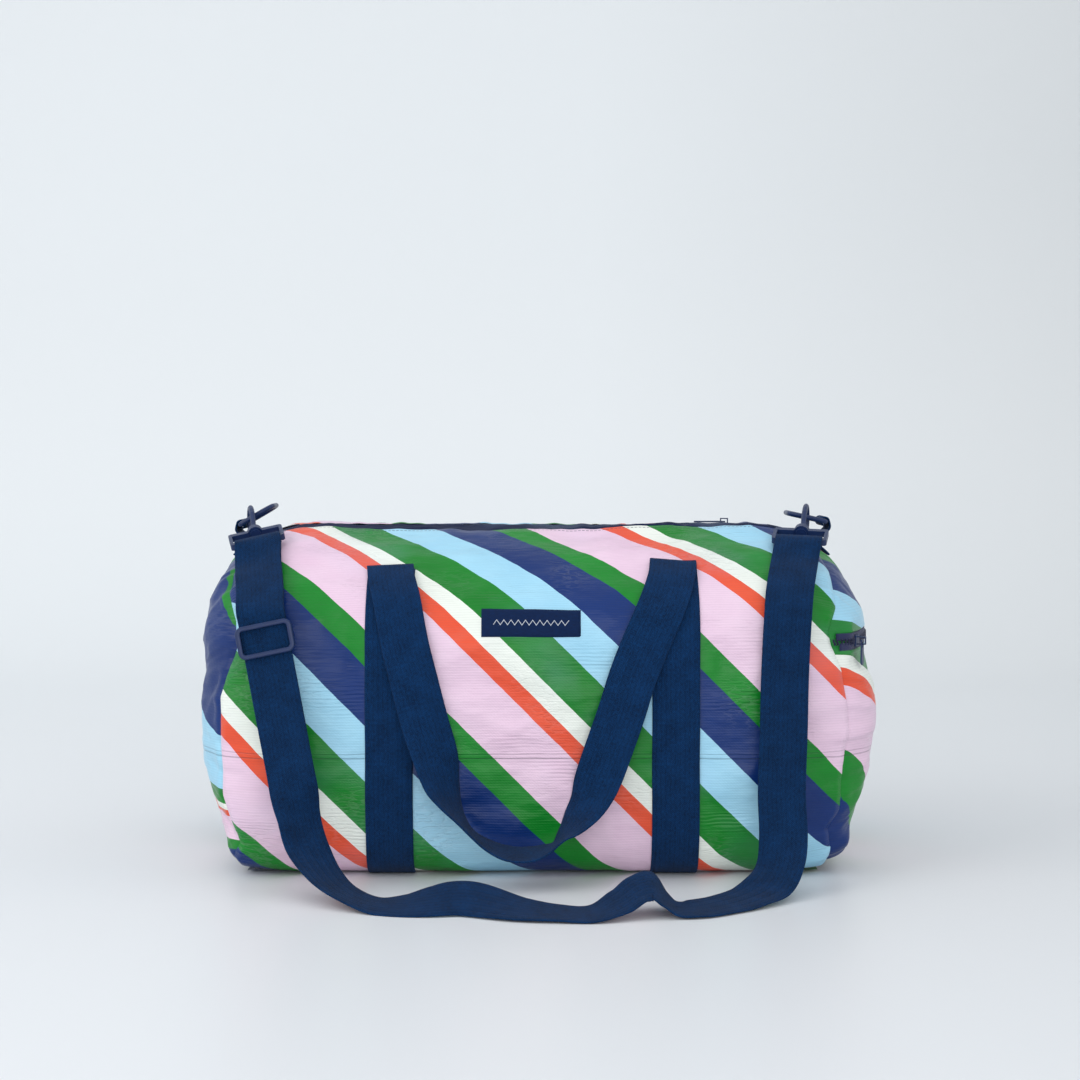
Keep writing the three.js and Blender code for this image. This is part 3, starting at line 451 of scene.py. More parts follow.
def strap_wave(a, s, total):
    """Slight cupping and edge ripple of a limp strap, none near its fittings."""
    calm = min(1.0, max(0.0, (s - 215) / 60)) * min(1.0, max(0.0, (total - 110 - s) / 80))
    ripple = 0.5 * noise.noise(Vector((s / 45, a * 0.7, 3.1))) + 0.25 * a * a * math.sin(s / 11)
    return calm * ripple


strap, strap_line, strap_length = ribbon(
    "strap_webbing_run", STRAP, STRAP_WEB, "strap", ["shoulder_strap"], spacing=2.2, shape=strap_wave)


# ---- the shell ----
def spline_section():
    """Front half of the section as (y, z), from the middle of the base edge to the ridge."""
    points = [(-103, 1.3, 0), (-108, 1.9, 0), (-116, 4.6, 0), (-124, 9.8, 0), (-131, 18, 0), (-136, 29, 0),
              (-139.1, 42, 0), (-140.6, 57, 0), (-141, 82, 0), (-139.9, 99, 0), (-141, 113, 0),
              (-141, 150, 0), (-140, 180, 0), (-137.5, 200, 0), (-130.5, 218, 0), (-118, 235, 0),
              (-103, 247.5, 0), (-89.5, 258.5, 0), (-74, 266.6, 0),
              (-58, 273.5, 0), (-43, 279.8, 0), (-26, 281.2, 0), (-9, 281.7, 0), (0, 281.8, 0)]
    curve, run = smooth_points(points, 900)
    return curve[:, :2], run


SECTION, RUN = spline_section()
START = float(np.interp(99.0, SECTION[:450, 1], RUN[:450]))
V_OF_RUN = RUN - START + 99.0               # arc length, equal to height on the flat wall
SEAM_V = float(np.interp(279.8, SECTION[400:, 1], V_OF_RUN[400:]))
LOW_V = float(V_OF_RUN[0])


def printed_v(v):
    """Place on the cloth; the shoulder is gathered, so more cloth is used there."""
    f = min(1.0, max(0.0, (v - 235) / 95))
    return v + 10.5 * f * f * (3 - 2 * f)


RIDGE_V = float(V_OF_RUN[-1])
TANGENT = unit(np.gradient(SECTION, axis=0))

RIGHT_SEAM = ([2, 17, 22, 37, 54, 70, 92, 119, 139, 169, 189, 204, 218, 227, 245, 259, 270, 282],
              [239, 241, 240, 238, 247.5, 248.4, 249.6, 254.6, 252.8, 247.7, 240, 238, 242.4, 245.2, 244.6,
               243.6, 239, 233])
LEFT_SEAM = ([2, 9, 15, 24, 34, 67, 94, 107, 134, 147, 163, 187, 214, 239, 254, 266, 274, 282],
             [239.5, 241.5, 240, 236, 239, 249.6, 249.4, 251, 250.2, 250.6, 246, 237.5, 239, 246.2, 245.6,
              241.5, 237, 233])


def seam_x(z, sign, side):
    """Where an end seam runs; only the front ones wander."""
    wander = np.interp(z, *(RIGHT_SEAM if sign > 0 else LEFT_SEAM))
    plain = np.interp(z, [0, 30, 60, 250, 281], [233, 240, 246, 246, 238])
    return wander if side < 0 else plain


def folds(x, v, side):
    """Outward movement of the fabric in millimetres: soft dents, sharp creases and puckers at the seams."""
    p = Vector((x / 105, v / 75, side * 5.3))
    soft = 3.0 * noise.noise(p) + 1.7 * noise.noise(p * 2.1 + Vector((4, 1, 7)))
    ridge = 0.0
    for scale, gain, turn in ((1 / 46, 1.5, 0.35), (1 / 24, 0.75, -0.5), (1 / 12, 0.22, 0.15)):
        q = Vector(((x + v * turn) * scale * 0.6, (v - x * turn * 0.4) * scale, side * 2.0 + scale * 40))
        ridge += gain * (0.45 - abs(noise.noise(q)) * 2.2)
    press = 0.9 * math.exp(-((v - 100.5) / 4.5) ** 2)
    pucker = 0.0
    for sign in (-1, 1):
        reach = max(0.0, 1 - (246 - sign * x) / 40)
        wave = noise.noise(Vector((v / 17, sign * 3, side)))
        wave += 0.4 * noise.noise(Vector((v / 6.5, sign, side)))
        pucker += reach * reach * 3.0 * wave
    top = max(0.0, 1 - (SEAM_V - v) / 22)
    pucker += top * top * 0.9 * noise.noise(Vector((x / 12, 5, side)))
    for cx, cv, wide, tall, deep in DENTS.get(side, ()):
        d = math.hypot((x - cx) / wide, (v - cv) / tall)
        pucker -= deep * max(0.0, 1 - d) ** 1.3
    return soft + ridge + press + pucker


# Pressed-in places on each wall: x, v, half width, half height, depth.
DENTS = {
    -1: [(-152, 178, 30, 34, 3.2), (-168, 205, 24, 22, 1.8), (-228, 172, 16, 26, 3.0),
         (70, 208, 34, 20, 2.2), (152, 172, 26, 34, 3.0), (222, 120, 20, 22, 2.6),
         (-205, 60, 26, 20, 1.6), (-10, 150, 46, 26, 1.8), (-45, 60, 40, 24, 1.6),
         (170, 60, 34, 24, 1.8), (20, 236, 50, 16, 2.0), (-60, 250, 34, 14, 1.6)],
    1: [(-150, 170, 34, 30, 3.0), (160, 190, 30, 30, 2.6), (20, 120, 60, 34, 2.4), (-60, 220, 40, 20, 2.0),
        (90, 60, 40, 24, 2.0), (-200, 90, 26, 30, 2.4), (215, 120, 22, 30, 2.6)],
}
BAND_X, BAND_W = 114.5, 38.0


def held(x, v):
    """1 where sewn webbing keeps the fabric flat, 0 in the open."""
    if v > 262:
        return 0.0
    edge = min(abs(abs(x) - BAND_X) - BAND_W / 2, 14)
    return 1 - max(0.0, edge) / 14 if edge > 0 else 1.0


def shell(u, v, side, lift=0.0, raw=False):
    """Point of the skin. u is -1 to 1 between the end seams, or x in mm if raw; v is arc length."""
    y, z = np.interp(v, V_OF_RUN, SECTION[:, 0]), np.interp(v, V_OF_RUN, SECTION[:, 1])
    ty, tz = np.interp(v, V_OF_RUN, TANGENT[:, 0]), np.interp(v, V_OF_RUN, TANGENT[:, 1])
    left, right = seam_x(z, -1, side), seam_x(z, 1, side)
    x = u if raw else (u * right if u > 0 else u * left)
    edge = (right - x) if x > 0 else (left + x)
    t = max(0.0, 1 - edge / 52.0)
    inset = 12 * t * t * (0.4 + 0.6 * min(1.0, z / 80))
    roll = max(0.0, 1 - edge / 5.0)
    inset += 3.2 * roll * roll
    calm = min(1.0, max(0.0, (v - LOW_V) / 25)) * min(1.0, max(0.12, (RIDGE_V - v) / 40))
    out = folds(x, v, side) * calm * (1 - 0.8 * held(x, v)) - inset + lift
    crown = np.interp(x * -side, [-246, -199, -83, -3, 81, 183, 246], [0, 1.0, -2.6, -1.8, -1.2, 1.2, 0])
    crown *= min(1.0, max(0.0, (z - 225) / 50)) * (1 - t) * min(1.0, 0.15 + abs(y) / 45)
    return (x, (y - tz * out) * (1 if side < 0 else -1), max(0.3, z + ty * out + crown)), x


def panel(name, side, v0, v1, nodes, columns=250, rows=150, lift=0.0):
    verts = []
    uvs = []
    us = np.sin(np.linspace(-1, 1, columns) * math.pi / 2 * 0.8) / math.sin(math.pi / 2 * 0.8)
    for u in us:
        for v in np.linspace(v0, v1, rows):
            p, x = shell(u, v, side, lift)
            verts.append(p)
            gather = 12 * min(1.0, max(0.0, (-175 - x) / 60)) * max(0.0, 1 - v / 45) if side < 0 else 0.0
            uvs.append((x * (1 if side < 0 else -1) * 0.001, (printed_v(v) - gather) * 0.001))
    faces = grid_faces(columns, rows, flip=side > 0)
    return make(name, verts, faces, uvs, FABRIC, "bag", nodes)


panel("front_wall_fabric", -1, LOW_V, SEAM_V, ["front_panel"])
panel("back_wall_fabric", 1, LOW_V, SEAM_V, ["back_panel"])


# ---- top strips, with the seam they turn in at ----
def top_strip(name, side, nodes, material):
    verts = []
    uvs = []
    columns, rows = 220, 16
    for i in range(columns):
        u = -1 + 2 * i / (columns - 1)
        for j in range(rows):
            f = j / (rows - 1)
            v = SEAM_V - 2.5 + (RIDGE_V - 5.7 - SEAM_V) * f
            sink = -0.8 * max(0.0, 1 - f * 9) - 0.8 * max(0.0, (f - 0.93) / 0.07)
            p, x = shell(u, v, side, sink)
            verts.append(p)
            uvs.append((x * 0.001 * (1 if side < 0 else -1), (v - RIDGE_V) * 0.001 - 0.0449))
    faces = grid_faces(columns, rows, flip=side > 0)
    make(name, verts, faces, uvs, material, "bag", nodes)


top_strip("front_top_fabric", -1, ["front_top_strip"], NAVY_FABRIC)
top_strip("back_top_fabric", 1, ["back_top_strip"], FABRIC)


def zip_cover(hand, sign):
    """Patch over one end of the main zip, lying on the ridge."""
    verts = []
    uvs = []
    for i in range(24):
        x = sign * (202 + 30.5 * i / 23)
        for j in range(15):
            y = -10.5 + 1.5 * j
            level = [shell(x, RIDGE_V - abs(y), side, 0, raw=True)[0][2] for side in (-1, 1)]
            height = sum(level) / 2 + 0.6 - 0.4 * abs(y / 10.5) ** 3
            height += 0.2 * noise.noise(Vector((x / 9, y / 9, 0)))
            verts.append((x, y, height - (0.8 if i == 0 else 0.0)))
            uvs.append((x * 0.001, y * 0.001))
    make(f"{hand}_zip_cover_fabric", verts, grid_faces(24, 15, flip=sign > 0), uvs, NAVY_FABRIC, "bag",
         [f"{hand}_zip_end_cover"])


zip_cover("left", -1)
zip_cover("right", 1)


# ---- end panels ----
CAP_Z = 120.0
ZIP_LEVEL, ZIP_ARC_X, ZIP_ARC_R = 190.0, 14.0, 268.7
# Stripe coordinate in mm against height, at the front seam and where the dome turns away.
END_STRIPES = {
    1: (([0, 10, 93, 120, 165, 177, 182, 190, 218, 244, 268, 282],
         [-139, -135, -91.5, -63, 0, 18, 38.5, 50, 81.2, 126.2, 174.2, 195]),
        ([0, 13.5, 41, 112, 134, 147, 190, 196, 217, 258, 266, 282],
         [-104, -91.5, -63, 0, 18, 38.5, 75, 81.2, 126.2, 174.2, 202.7, 222])),
    -1: (([0, 28, 30, 50, 54, 58, 67, 104, 168, 253, 282],
          [-125, -95, -62, 0, 18, 38.5, 81.2, 126.2, 174.2, 202.7, 215]),
         ([0, 20, 22, 48, 60, 63, 76, 155, 250, 282],
          [-125, -95, -62, 0, 18, 38.5, 81.2, 126.2, 174.2, 192])),
}
# Pressed-in places on each end: y, z, half depth, half height, depth (below 0 where pushed out).
END_DENTS = {
    1: [(-112, 98, 26, 10, 2.6), (-96, 66, 40, 16, 2.0), (-100, 222, 30, 20, 2.0),
        (-72, 262, 62, 26, -8.5), (30, 110, 60, 40, 3.0), (90, 200, 40, 26, 3.0), (-112, 40, 22, 12, 2.0)],
    -1: [(-96, 214, 36, 17, 3.0), (-72, 256, 62, 30, -5.0), (-112, 150, 18, 40, 3.0),
         (-60, 60, 50, 22, 1.5), (60, 150, 60, 40, 4.0), (-110, 92, 20, 20, 2.5)],
}


# Share of each end's bulge left at a height: the lower part of the bag is drawn in.
END_FULL = {
    1: ([0, 14, 35, 60, 95, 125], [0.62, 0.56, 0.56, 0.68, 0.9, 1.0]),
    -1: ([0, 20, 36, 62, 95], [1.6, 0.75, 0.62, 0.9, 1.0]),
}


def zip_seat(y, z, x):
    """Seat the end's fabric under the pocket zip, with a lip each side of the tape."""
    gap = abs(z - ZIP_LEVEL)
    reach = min(1.0, max(0.0, (32 - gap) / 22))
    reach = reach * reach * (3 - 2 * reach)
    lip = min(1.0, max(0.0, (gap - 6.2) / 1.4))
    radius = ZIP_ARC_R - 1.4 + 2.3 * lip - 0.5 * min(1.0, max(0.0, (gap - 8.2) / 2))
    seat = ZIP_ARC_X + math.sqrt(radius ** 2 - y ** 2)
    return x * (1 - reach) + seat * reach


def end_stripe(sign, y, z):
    seam, turn = (float(np.interp(z, *table)) for table in END_STRIPES[sign])
    share = min(1.0, max(0.0, (-y - 70) / 71))
    rest = min(1.0, max(0.0, (y + 70) / 60))
    turn += (z + (-105 if sign > 0 else -14) - turn) * rest * rest * (3 - 2 * rest)
    return seam * share + turn * (1 - share) + sign * max(0.0, y + 70)


def end_panel(name, sign, nodes, bulge, rings=84, around=420):
    """Domed end: its rim meets the shell's own edge a little inside it."""
    span = np.linspace(LOW_V, RIDGE_V, around // 2)
    rim = [shell(sign, v, -1, -0.4)[0] for v in span]
    rim += [shell(sign, v, 1, -0.4)[0] for v in span[::-1]]
    (x0, y0, low), (x1, y1, _) = rim[0], rim[-1]
    rim += [(x1 + (x0 - x1) * f, y1 + (y0 - y1) * f, low) for f in np.linspace(0, 1, 50)[1:-1]]
    rim = np.array(rim)
    verts = []
    uvs = []
    for i in range(rings + 1):
        rho = 1 - (i / rings) ** 1.25 * 0.995
        for r in rim:
            y, z = r[1] * rho, CAP_Z + (r[2] - CAP_Z) * rho
            a = math.atan2(r[2] - CAP_Z, r[1])
            up = math.sin(a)
            if sign > 0:
                power = 6 - 0.8 * up if up > 0 else 6 + 26 * up * up
            else:
                power = 5 + (4.0 if up > 0 else 1.5) * up
            p = Vector((y / 60, z / 60, sign * 9.0))
            dent = 2.6 * noise.noise(p) + 1.6 * (0.4 - abs(noise.noise(p * 2.1)) * 2)
            dent += 0.6 * (0.4 - abs(noise.noise(p * 4.3)) * 2)
            pucker = max(0.0, (rho - 0.72) / 0.28) ** 1.5 * 2.2
            pucker *= noise.noise(Vector((a * 9, sign, rho * 2)))
            for cy, cz, deep_y, tall, deep in END_DENTS[sign]:
                d = math.hypot((y - cy) / deep_y, (z - cz) / tall)
                dent -= deep * max(0.0, 1 - d) ** 1.2
            fade = min(1.0, (1 - rho) * 16)
            roll = max(0.0, (rho - 0.972) / 0.028)
            full = bulge * float(np.interp(z, *END_FULL[sign]))
            x = abs(r[0]) * rho ** 2 + 246 * (1 - rho ** 2) + full * (1 - rho ** power)
            x += (dent + pucker) * fade
            x -= 2.0 * roll * roll - 1.2
            if sign > 0:
                x = x * (1 - fade) + zip_seat(y, z, x) * fade
            verts.append((sign * x, y, z))
            uvs.append(((end_stripe(sign, y, z) + 130.5 - z) * 0.001, z * 0.001))
    faces = grid_faces(rings + 1, len(rim), flip=sign < 0, wrap=True)
    faces.append(tuple(range(rings * len(rim), (rings + 1) * len(rim)))[:: (1 if sign < 0 else -1)])
    return make(name, verts, faces, uvs, FABRIC, "bag", nodes)


ENDS = {
    -1: end_panel("left_end_fabric", -1, ["left_end_panel", "left_seam_binding"], 27.0),
    1: end_panel("right_end_fabric", 1, ["right_end_upper", "right_end_lower", "right_seam_binding"], 34.0),
}
TREES = {}
for sign, end in ENDS.items():
    places = [v.co for v in end.data.vertices]
    TREES[sign] = BVHTree.FromPolygons(places, [p.vertices for p in end.data.polygons])


def on_end(sign, z, y=0.0):
    """How far out an end's fabric is, or None past its edge."""
    hit = TREES[sign].ray_cast(Vector((sign * 0.5, y * 0.001, z * 0.001)), Vector((-sign, 0, 0)))
    return abs(hit[0].x) * 1000 if hit[0] else None


# ---- base ----
def base():
    verts = []
    uvs = []
    for x in np.linspace(-233, 233, 90):
        for y in np.linspace(-105, 105, 50):
            verts.append((x, y, 2.0 + 0.5 * noise.noise(Vector((x / 60, y / 60, 1)))))
            uvs.append((x * 0.001 + 0.130, -y * 0.001))
    faces = grid_faces(90, 50, flip=True)
    make("base_fabric", verts, faces, uvs, FABRIC, "bag", ["base_panel"])


base()


# ---- sewn webbing bands ----
FOLD_V = [float(np.interp(z, SECTION[400:, 1], V_OF_RUN[400:])) for z in (252.6, 249.4)]


def band(name, sign, side, nodes):
    """Webbing sewn up one wall, from under the base to the fold of the handle."""
    centre = sign * BAND_X
    verts = []
    uvs = []
    span = np.linspace(LOW_V, FOLD_V[sign == side], 150)
    flat = np.linspace(-18.3, 18.3, 15)
    profile = [(-19, 0.0), (-19, 1.2)] + [(a, 1.75) for a in flat] + [(19, 1.2), (19, 0.0)]
    for v in span:
        wobble = 0.5 * noise.noise(Vector((v / 60, sign, side * 3)))
        for a, lift in profile:
            lift += 0.25 * noise.noise(Vector((v / 14, a / 9, side))) if abs(a) < 18.5 else 0
            verts.append(shell(centre + a + wobble, v, side, lift, raw=True)[0])
            uvs.append((a * 0.001, v * 0.001))
    faces = grid_faces(len(span), len(profile), flip=side < 0)
    return make(name, verts, faces, uvs, SEWN_WEB, "bag", nodes)


for word, side in (("front", -1), ("back", 1)):
    for hand, sign in (("left", -1), ("right", 1)):
        band(f"{word}_{hand}_webbing", sign, side, [f"{word}_{hand}_band"])
for hand, sign in (("left", -1), ("right", 1)):
    route = [((sign * BAND_X, y, 0.95), (1, 0, 0)) for y in (-107, -60, 0, 60, 107)]
    ribbon(f"base_{hand}_webbing", route, WEB, "bag", [f"base_{hand}_band"], spacing=6)

# ---- carry handles ----
HANDLE = [
    ((-115.8, -101.5, 251), (1, 0, -0.04)), ((-113.4, -117, 240.5), (1, 0, 0)),
    ((-108.5, -132, 225.5), (1, 0.02, 0.05)), ((-104.5, -140.5, 206), (1, 0.02, 0.1)),
    ((-101.2, -144, 190), (1, 0.02, 0.15)), ((-94.5, -147, 164), (1, 0.02, 0.2)),
    ((-84.8, -149, 127), (0.97, 0.15, 0.2)), ((-77.6, -151, 104.5), (0.9, 0.35, 0.2)),
    ((-71.5, -154, 79.6), (0.63, 0.74, 0.22)), ((-65.3, -157, 66.4), (0.33, 0.93, 0.15)),
    ((-56, -160.5, 52.6), (0.11, 0.98, -0.03)), ((-47.5, -163, 43.2), (0.05, 0.99, -0.08)),
    ((-33.4, -166, 33.5), (0.1, 0.99, 0)), ((-20.8, -167.5, 28.4), (0.05, 0.99, 0.1)),
    ((-9, -168, 27), (0, 0.99, 0.11)), ((1.5, -167, 28.2), (-0.03, 0.99, 0.1)),
    ((11, -165, 31.5), (-0.05, 0.99, 0.01)), ((19.5, -163, 35.8), (-0.04, 0.99, -0.1)),
    ((26.5, -160, 42.4), (-0.2, 0.97, 0.05)), ((35.2, -157.5, 52.8), (-0.4, 0.86, 0.25)),
    ((43.9, -155, 64.8), (-0.64, 0.7, 0.28)), ((51.8, -153, 84.3), (-0.88, 0.3, 0.28)),
    ((59.6, -151.5, 105.6), (-0.95, 0.1, 0.27)), ((70.4, -149, 136), (-1, 0.03, 0.25)),
    ((79.6, -146.5, 165), (-1, 0.02, 0.22)), ((90.5, -142.5, 192), (-1, 0.02, 0.18)),
    ((99.5, -138.5, 212), (-1, 0.02, 0.12)), ((106.5, -129.5, 228), (-1, 0.02, 0.06)),
    ((112.3, -115.5, 243.8), (-1, 0, 0.02)), ((114.5, -98.7, 254.9), (-1, 0, 0.03)),
]


def handle_wave(a, s, total):
    calm = min(1.0, s / 50) * min(1.0, (total - s) / 50)
    return calm * (0.4 * noise.noise(Vector((s / 35, a, 8))) + 0.3 * a * a * math.sin(s / 13))


ribbon("front_handle_webbing", HANDLE, WEB, "front_handle", ["front_handle"], shape=handle_wave)
TURNED = [((-p[0], -p[1], p[2]), (-w[0], -w[1], w[2])) for p, w in HANDLE]
ribbon("back_handle_webbing", TURNED, WEB, "back_handle", ["back_handle"], shape=handle_wave)

# ---- label ----
def label():
    """Woven patch with its four edges turned down to the wall."""
    low, high = (float(np.interp(z, SECTION[:, 1], V_OF_RUN)) for z in (195.8, 217.3))
    verts = []
    uvs = []
    for a in np.linspace(-1, 1, 60):
        for b in np.linspace(-1, 1, 18):
            v = (low + high) / 2 + (high - low) / 2 * b
            lift = (0.0 if max(abs(a), abs(b)) > 0.999 else 1.3) + 0.2 * math.sin(a * 5)
            verts.append(shell(a * 39.8 - 1.0, v, -1, lift, raw=True)[0])
            uvs.append((a * 0.0388, b * 0.0105))
    make("label_patch", verts, grid_faces(60, 18), uvs, LABEL, "bag", ["front_label"])


label()

# ---- strap ends, tabs ----
rows, _ = smooth_points([list(p) + list(w) for p, w in STRAP], 480)
centre = rows[:, :3]
along = unit(np.gradient(centre, axis=0))
across = unit(rows[:, 3:] - along * (rows[:, 3:] * along).sum(1, keepdims=True))
normal = np.cross(along, across)


def behind(places, depth):
    """Stations behind the strap at distances along it."""
    run = np.concatenate([[0], np.cumsum(np.linalg.norm(np.diff(centre, axis=0), axis=1))])
    stations = []
    for place in places:
        i = int(np.argmin(abs(run - (place if place >= 0 else run[-1] + place))))
        stations.append((tuple(centre[i] - normal[i] * depth), tuple(across[i])))
    return stations


tail = behind(range(15, 96, 10), 2.8) + [
    (on_glide(-10, 4.4), (1, 0, 0)), (on_glide(-4, 6.6), (1, 0, 0)), (on_glide(3, 6.6), (1, 0, 0)),
    (on_glide(10, 5.0), (1, 0, 0))]
strap_back, _, _ = ribbon("strap_return_webbing", tail, STRAP_WEB, "strap", ["strap_return"])
strap_fold, _, _ = ribbon("strap_end_webbing", behind(range(-15, -96, -10), 2.8), STRAP_WEB, "strap",
                          ["strap_end_fold"])
for hand, sign, z in (("left", -1, 281.0), ("right", 1, 283.6)):
    points = [(on_end(sign, h) + 1.4, h) for h in (255, 258.5, 262, 266)] + [(253.9, z - 6)]
    points += [(250 + 3.5 * math.cos(math.radians(a)), z + 3.5 * math.sin(math.radians(a)))
               for a in (0, 45, 90, 135, 180, 225, 250)]
    ribbon(f"{hand}_ring_webbing", [((sign * x, 0, h), (0, 1, 0)) for x, h in points], WEB, "bag",
           [f"{hand}_ring_tab"], width=36, spacing=1.2)

# ---- adjuster: a rounded frame in front of the strap and a bar behind it ----
def bar_sweep(path, closed, wide, deep, out):
    """Bar of rounded section along points; wide in its own plane, deep along out."""
    p = np.array(path, float)
    after = np.roll(p, -1, axis=0) if closed else np.vstack([p[1:], 2 * p[-1:] - p[-2:-1]])
    before = np.roll(p, 1, axis=0) if closed else np.vstack([2 * p[:1] - p[1:2], p[:-1]])
    tangent = unit(after - before)
    side = np.cross(tangent, out)
    angles = np.linspace(0, 2 * math.pi, 16, endpoint=False)
    ring = [(math.copysign(abs(math.cos(a)) ** 0.55, math.cos(a)) * wide / 2,
             math.copysign(abs(math.sin(a)) ** 0.55, math.sin(a)) * deep / 2) for a in angles]
    points = [p[i] + side[i] * a + out * b for i in range(len(p)) for a, b in ring]
    faces = grid_faces(len(p), 16, wrap=True)
    if closed:
        last = (len(p) - 1) * 16
        faces += [(last + j, j, (j + 1) % 16, last + (j + 1) % 16) for j in range(16)]
    else:
        faces += [tuple(range(16)), tuple(range((len(p) - 1) * 16, len(p) * 16))[::-1]]
    return points, faces


def adjuster():
    corner, half_x, half_y = 4.2, 20.6, 11.4
    loop = []
    for cx, cy, start in ((1, 1, 0), (-1, 1, 90), (-1, -1, 180), (1, -1, 270)):
        for a in range(0, 91, 15):
            angle = math.radians(start + a)
            loop.append((cx * (half_x - corner) + corner * math.cos(angle),
                         cy * (half_y - corner) + corner * math.sin(angle)))
    def place(x, y, out):
        return GLIDE_AT + GLIDE_ACROSS * x + GLIDE_ALONG * y + GLIDE_OUT * out
    parts = [bar_sweep([place(x, y, 3.2) for x, y in loop], True, 4.0, 3.4, GLIDE_OUT)]
    for sign in (-1, 1):
        rail = [place(sign * (half_x + 0.5), y, -1.2) for y in np.linspace(-half_y + 3, half_y - 3, 8)]
        parts.append(bar_sweep(rail, False, 2.6, 7.0, GLIDE_OUT))
    middle = [place(x, 0, -3.2) for x in np.linspace(-half_x, half_x, 12)]
    parts.append(bar_sweep(middle, False, 4.4, 3.2, GLIDE_OUT))
    verts, faces = [], []
    for points, quads in parts:
        faces += [tuple(k + len(verts) for k in f) for f in quads]
        verts += points
    return make("adjuster_frame", verts, faces, [(v[0] * 0.001, v[2] * 0.001) for v in verts], PLASTIC,
                "adjuster", ["tri_glide"])


adjuster()

# ---- zips: woven tapes and rows of teeth ----
def teeth(name, places, along, across, out, nodes):
    """A tooth at each place; along, across and out give its directions, sizes are in millimetres."""
    verts = []
    faces = []
    for k, place in enumerate(places):
        a, c, o = along[k], across[k], out[k]
        base = len(verts)
        for deep, shrink in ((-0.9, 1.0), (0.55, 1.0), (1.05, 0.55)):
            for i, j in ((-1, -1), (1, -1), (1, 1), (-1, 1)):
                wide = 1.35 * j * (0.6 + 0.4 * shrink)
                verts.append(place + a * (0.42 * i * shrink) + c * wide + o * deep)
        for ring in (0, 4):
            for i in range(4):
                faces.append((base + ring + i, base + ring + (i + 1) % 4, base + ring + 4 + (i + 1) % 4,
                              base + ring + 4 + i))
        faces.append((base + 8, base + 9, base + 10, base + 11))
    uvs = [(v[0] * 0.001, v[2] * 0.001) for v in verts]
    return make(name, verts, faces, uvs, COIL, "bag", nodes, smooth=False)


AT_ZIP = float(np.interp(ZIP_LEVEL, SECTION[:600, 1], V_OF_RUN[:600]))
ZIP_Y = [shell(1, AT_ZIP, side, -0.4)[0][1] for side in (-1, 1)]


def along_zip(level, lift, pitch, shift=0.0):
    """Places above the end's fabric at one height, with their directions along and out."""
    ys = np.arange(ZIP_Y[0] + 0.8 + shift, ZIP_Y[1] - 0.8, pitch)
    found = [(on_end(1, level, y), y) for y in ys]
    xs, ys = np.array([pair for pair in found if pair[0]]).T
    xs = np.convolve(np.pad(xs, 1, mode="edge"), np.ones(3) / 3, mode="valid")
    turn = unit(np.stack([np.gradient(xs), np.gradient(ys), np.zeros(len(ys))], axis=1))
    out = np.stack([turn[:, 1], -turn[:, 0], np.zeros(len(ys))], axis=1)
    return np.stack([xs, ys, np.full(len(ys), level)], axis=1) + out * lift, turn, out


for word, sign in (("upper", 1), ("lower", -1)):
    places, _, _ = along_zip(ZIP_LEVEL + sign * 3.9, 1.7, 2.0)
    ribbon(f"pocket_{word}_tape_weave", [(tuple(p), (0, 0, 1)) for p in places], TAPE, "bag",
           [f"pocket_tape_{word}"], width=6.0, thick=0.7, spacing=3.0)
    places, turn, out = along_zip(ZIP_LEVEL + sign * 1.1, 2.4, 1.6, 0.8 if sign > 0 else 0.0)
    teeth(f"pocket_{word}_coil", list(places), turn, [np.array([0, 0, 1.0])] * len(places), out,
          [f"pocket_teeth_{word}"])
for word, sign in (("front", -1), ("back", 1)):
    xs = np.arange(-201 + (0.95 if sign > 0 else 0), 201, 1.9)
    places = [np.array([x, sign * 1.2, 278.6]) for x in xs]
    n = len(xs)
    teeth(f"{word}_zip_coil", places, [np.array([1.0, 0, 0])] * n, [np.array([0, 1.0, 0])] * n,
          [np.array([0, 0, 1.0])] * n, [f"{word}_zip_teeth"])
    route = [((x, sign * 9.2, 278.4), (0, 1, 0)) for x in (-205, -70, 70, 205)]
    ribbon(f"{word}_tape_weave", route, TAPE, "bag", [f"{word}_zip_tape"], width=14, thick=0.8, spacing=8.0)

# ---- moulded parts keep their own shape, with softened edges ----
def wear(obj, material):
    obj.data.materials.clear()
    obj.data.materials.append(material)


for node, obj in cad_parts.items():
    if "backing" in node:
        wear(obj, TAPE)
    elif any(word in node for word in ("hook", "d_ring", "tri_glide", "slider", "pull")):
        wear(obj, PLASTIC)
        obj.data.polygons.foreach_set("use_smooth", [True] * len(obj.data.polygons))
        if any(word in node for word in ("frame", "slider", "pull")):
            soften = obj.modifiers.new("soft edges", "BEVEL")
            soften.width = 0.0011 if "frame" in node else 0.0003
            soften.segments = 3
            soften.limit_method = "ANGLE"
            soften.angle_limit = math.radians(38)
            soften.harden_normals = True
        else:
            soften = obj.modifiers.new("hard edges", "EDGE_SPLIT")
            soften.split_angle = math.radians(42)

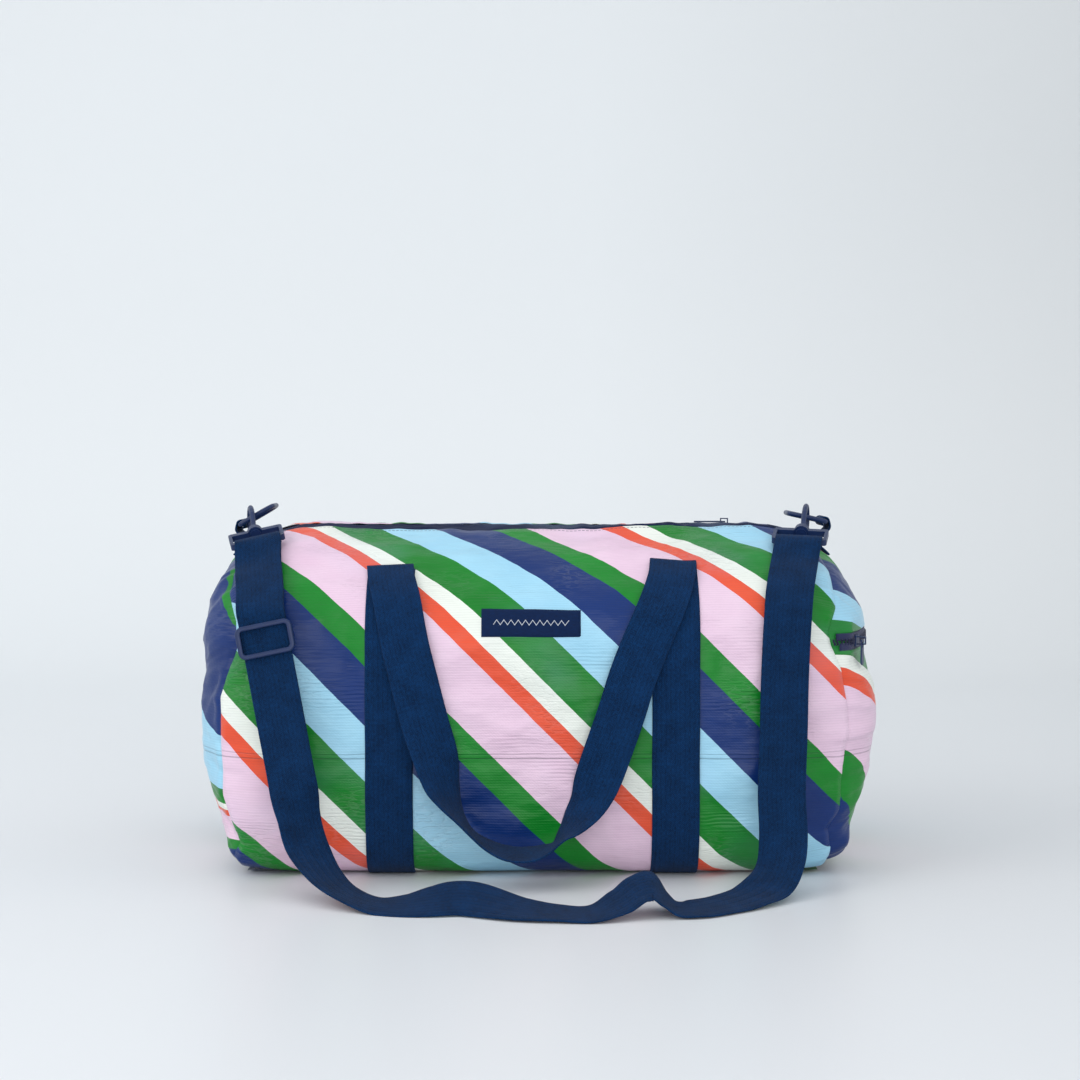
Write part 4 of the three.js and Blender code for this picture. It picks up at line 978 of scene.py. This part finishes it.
# ---- studio ----
def paper():
    """Pale paper with painted light: a little brighter up the wall, and painted shade making it a little
    greyer to the right.
    """
    t = Tree("studio_paper")
    place = t.node("ShaderNodeTexCoord").outputs["Object"]
    cloud = t.noise(place, 0.8, 2)
    colour = t.mix(cloud, srgb(219, 222, 225), srgb(226, 229, 232))
    depth = t.node("ShaderNodeSeparateXYZ", i0=place).outputs
    # Painted light: the paper's colour gets lighter towards and up the wall.
    painted_wall_light = t.math("DIVIDE", t.math("SUBTRACT", depth[1], 0.1), 1.6, clamp=True)
    colour = t.mix(painted_wall_light, colour, srgb(238, 242, 244))
    # Painted shade: the paper's colour gets greyer to the right, away from the window lamp.
    right = t.math("DIVIDE", t.math("SUBTRACT", depth[0], 0.1), 1.4, clamp=True)
    colour = t.mix(t.math("MULTIPLY", right, 0.5), colour, srgb(196, 198, 198))
    return t.set(Base_Color=colour, Roughness=0.42, Normal=t.bump(t.noise(place, 300, 2), 0.0002, 0.3))


def studio():
    """One sheet of paper: floor, curve and wall."""
    profile = [(-3.2, 0.0), (1.2, 0.0)]
    bend = np.linspace(0.08, math.pi / 2, 18)
    profile += [(1.2 + 0.9 * math.sin(a), 0.9 - 0.9 * math.cos(a)) for a in bend]
    profile += [(2.1, 4.5)]
    places = [(x, y, z) for y, z in profile for x in (-4.5, 4.5)]
    verts = [(x * 1000, y * 1000, z * 1000) for x, y, z in places]
    uvs = [(x, y + z) for x, y, z in places]
    make("studio_sweep", verts, grid_faces(len(profile), 2, flip=True), uvs, paper(), None)


studio()


def sky():
    """Soft light from all round, brightest from above and in front."""
    world = bpy.data.worlds.new("studio")
    world.use_nodes = True
    tree = world.node_tree
    parts = tree.nodes.new("ShaderNodeSeparateXYZ")
    tree.links.new(tree.nodes.new("ShaderNodeTexCoord").outputs["Generated"], parts.inputs[0])
    half_back = tree.nodes.new("ShaderNodeMath")
    half_back.operation = "MULTIPLY"
    half_back.inputs[1].default_value = -0.75
    tree.links.new(parts.outputs[1], half_back.inputs[0])
    facing = tree.nodes.new("ShaderNodeMath")
    facing.operation = "SUBTRACT"
    tree.links.new(parts.outputs[2], facing.inputs[0])
    tree.links.new(half_back.outputs[0], facing.inputs[1])
    level = tree.nodes.new("ShaderNodeMapRange")
    level.inputs[1].default_value = -0.9
    level.inputs[2].default_value = 1.0
    tree.links.new(facing.outputs[0], level.inputs[0])
    ramp = tree.nodes.new("ShaderNodeValToRGB")
    ramp.color_ramp.elements[0].color = (0.64, 0.65, 0.67, 1)
    ramp.color_ramp.elements[1].color = (1.02, 1.04, 1.07, 1)
    tree.links.new(level.outputs[0], ramp.inputs[0])
    tree.links.new(ramp.outputs[0], tree.nodes["Background"].inputs[0])
    tree.nodes["Background"].inputs[1].default_value = 1.0
    bpy.context.scene.world = world


sky()


def lamp(name, place, target, size, power, colour=(1, 1, 1)):
    data = bpy.data.lights.new(name, "AREA")
    data.shape = "RECTANGLE"
    data.size = size[0]
    data.size_y = size[1]
    data.energy = power
    data.color = colour
    obj = bpy.data.objects.new(name, data)
    obj.location = place
    obj.rotation_euler = (Vector(target) - Vector(place)).to_track_quat("-Z", "Y").to_euler()
    bpy.context.scene.collection.objects.link(obj)


lamp("window", (-1.7, -1.1, 1.35), (0, 0, 0.1), (1.3, 1.6), 13, (1.0, 0.99, 0.975))
lamp("room", (0.5, -2.9, 1.0), (0, 0, 0.12), (2.2, 1.4), 16, (0.98, 0.99, 1.0))
lamp("low_fill", (-0.3, -2.5, 0.45), (-0.05, 0, 0.06), (2.4, 0.6), 5, (0.99, 1.0, 1.0))
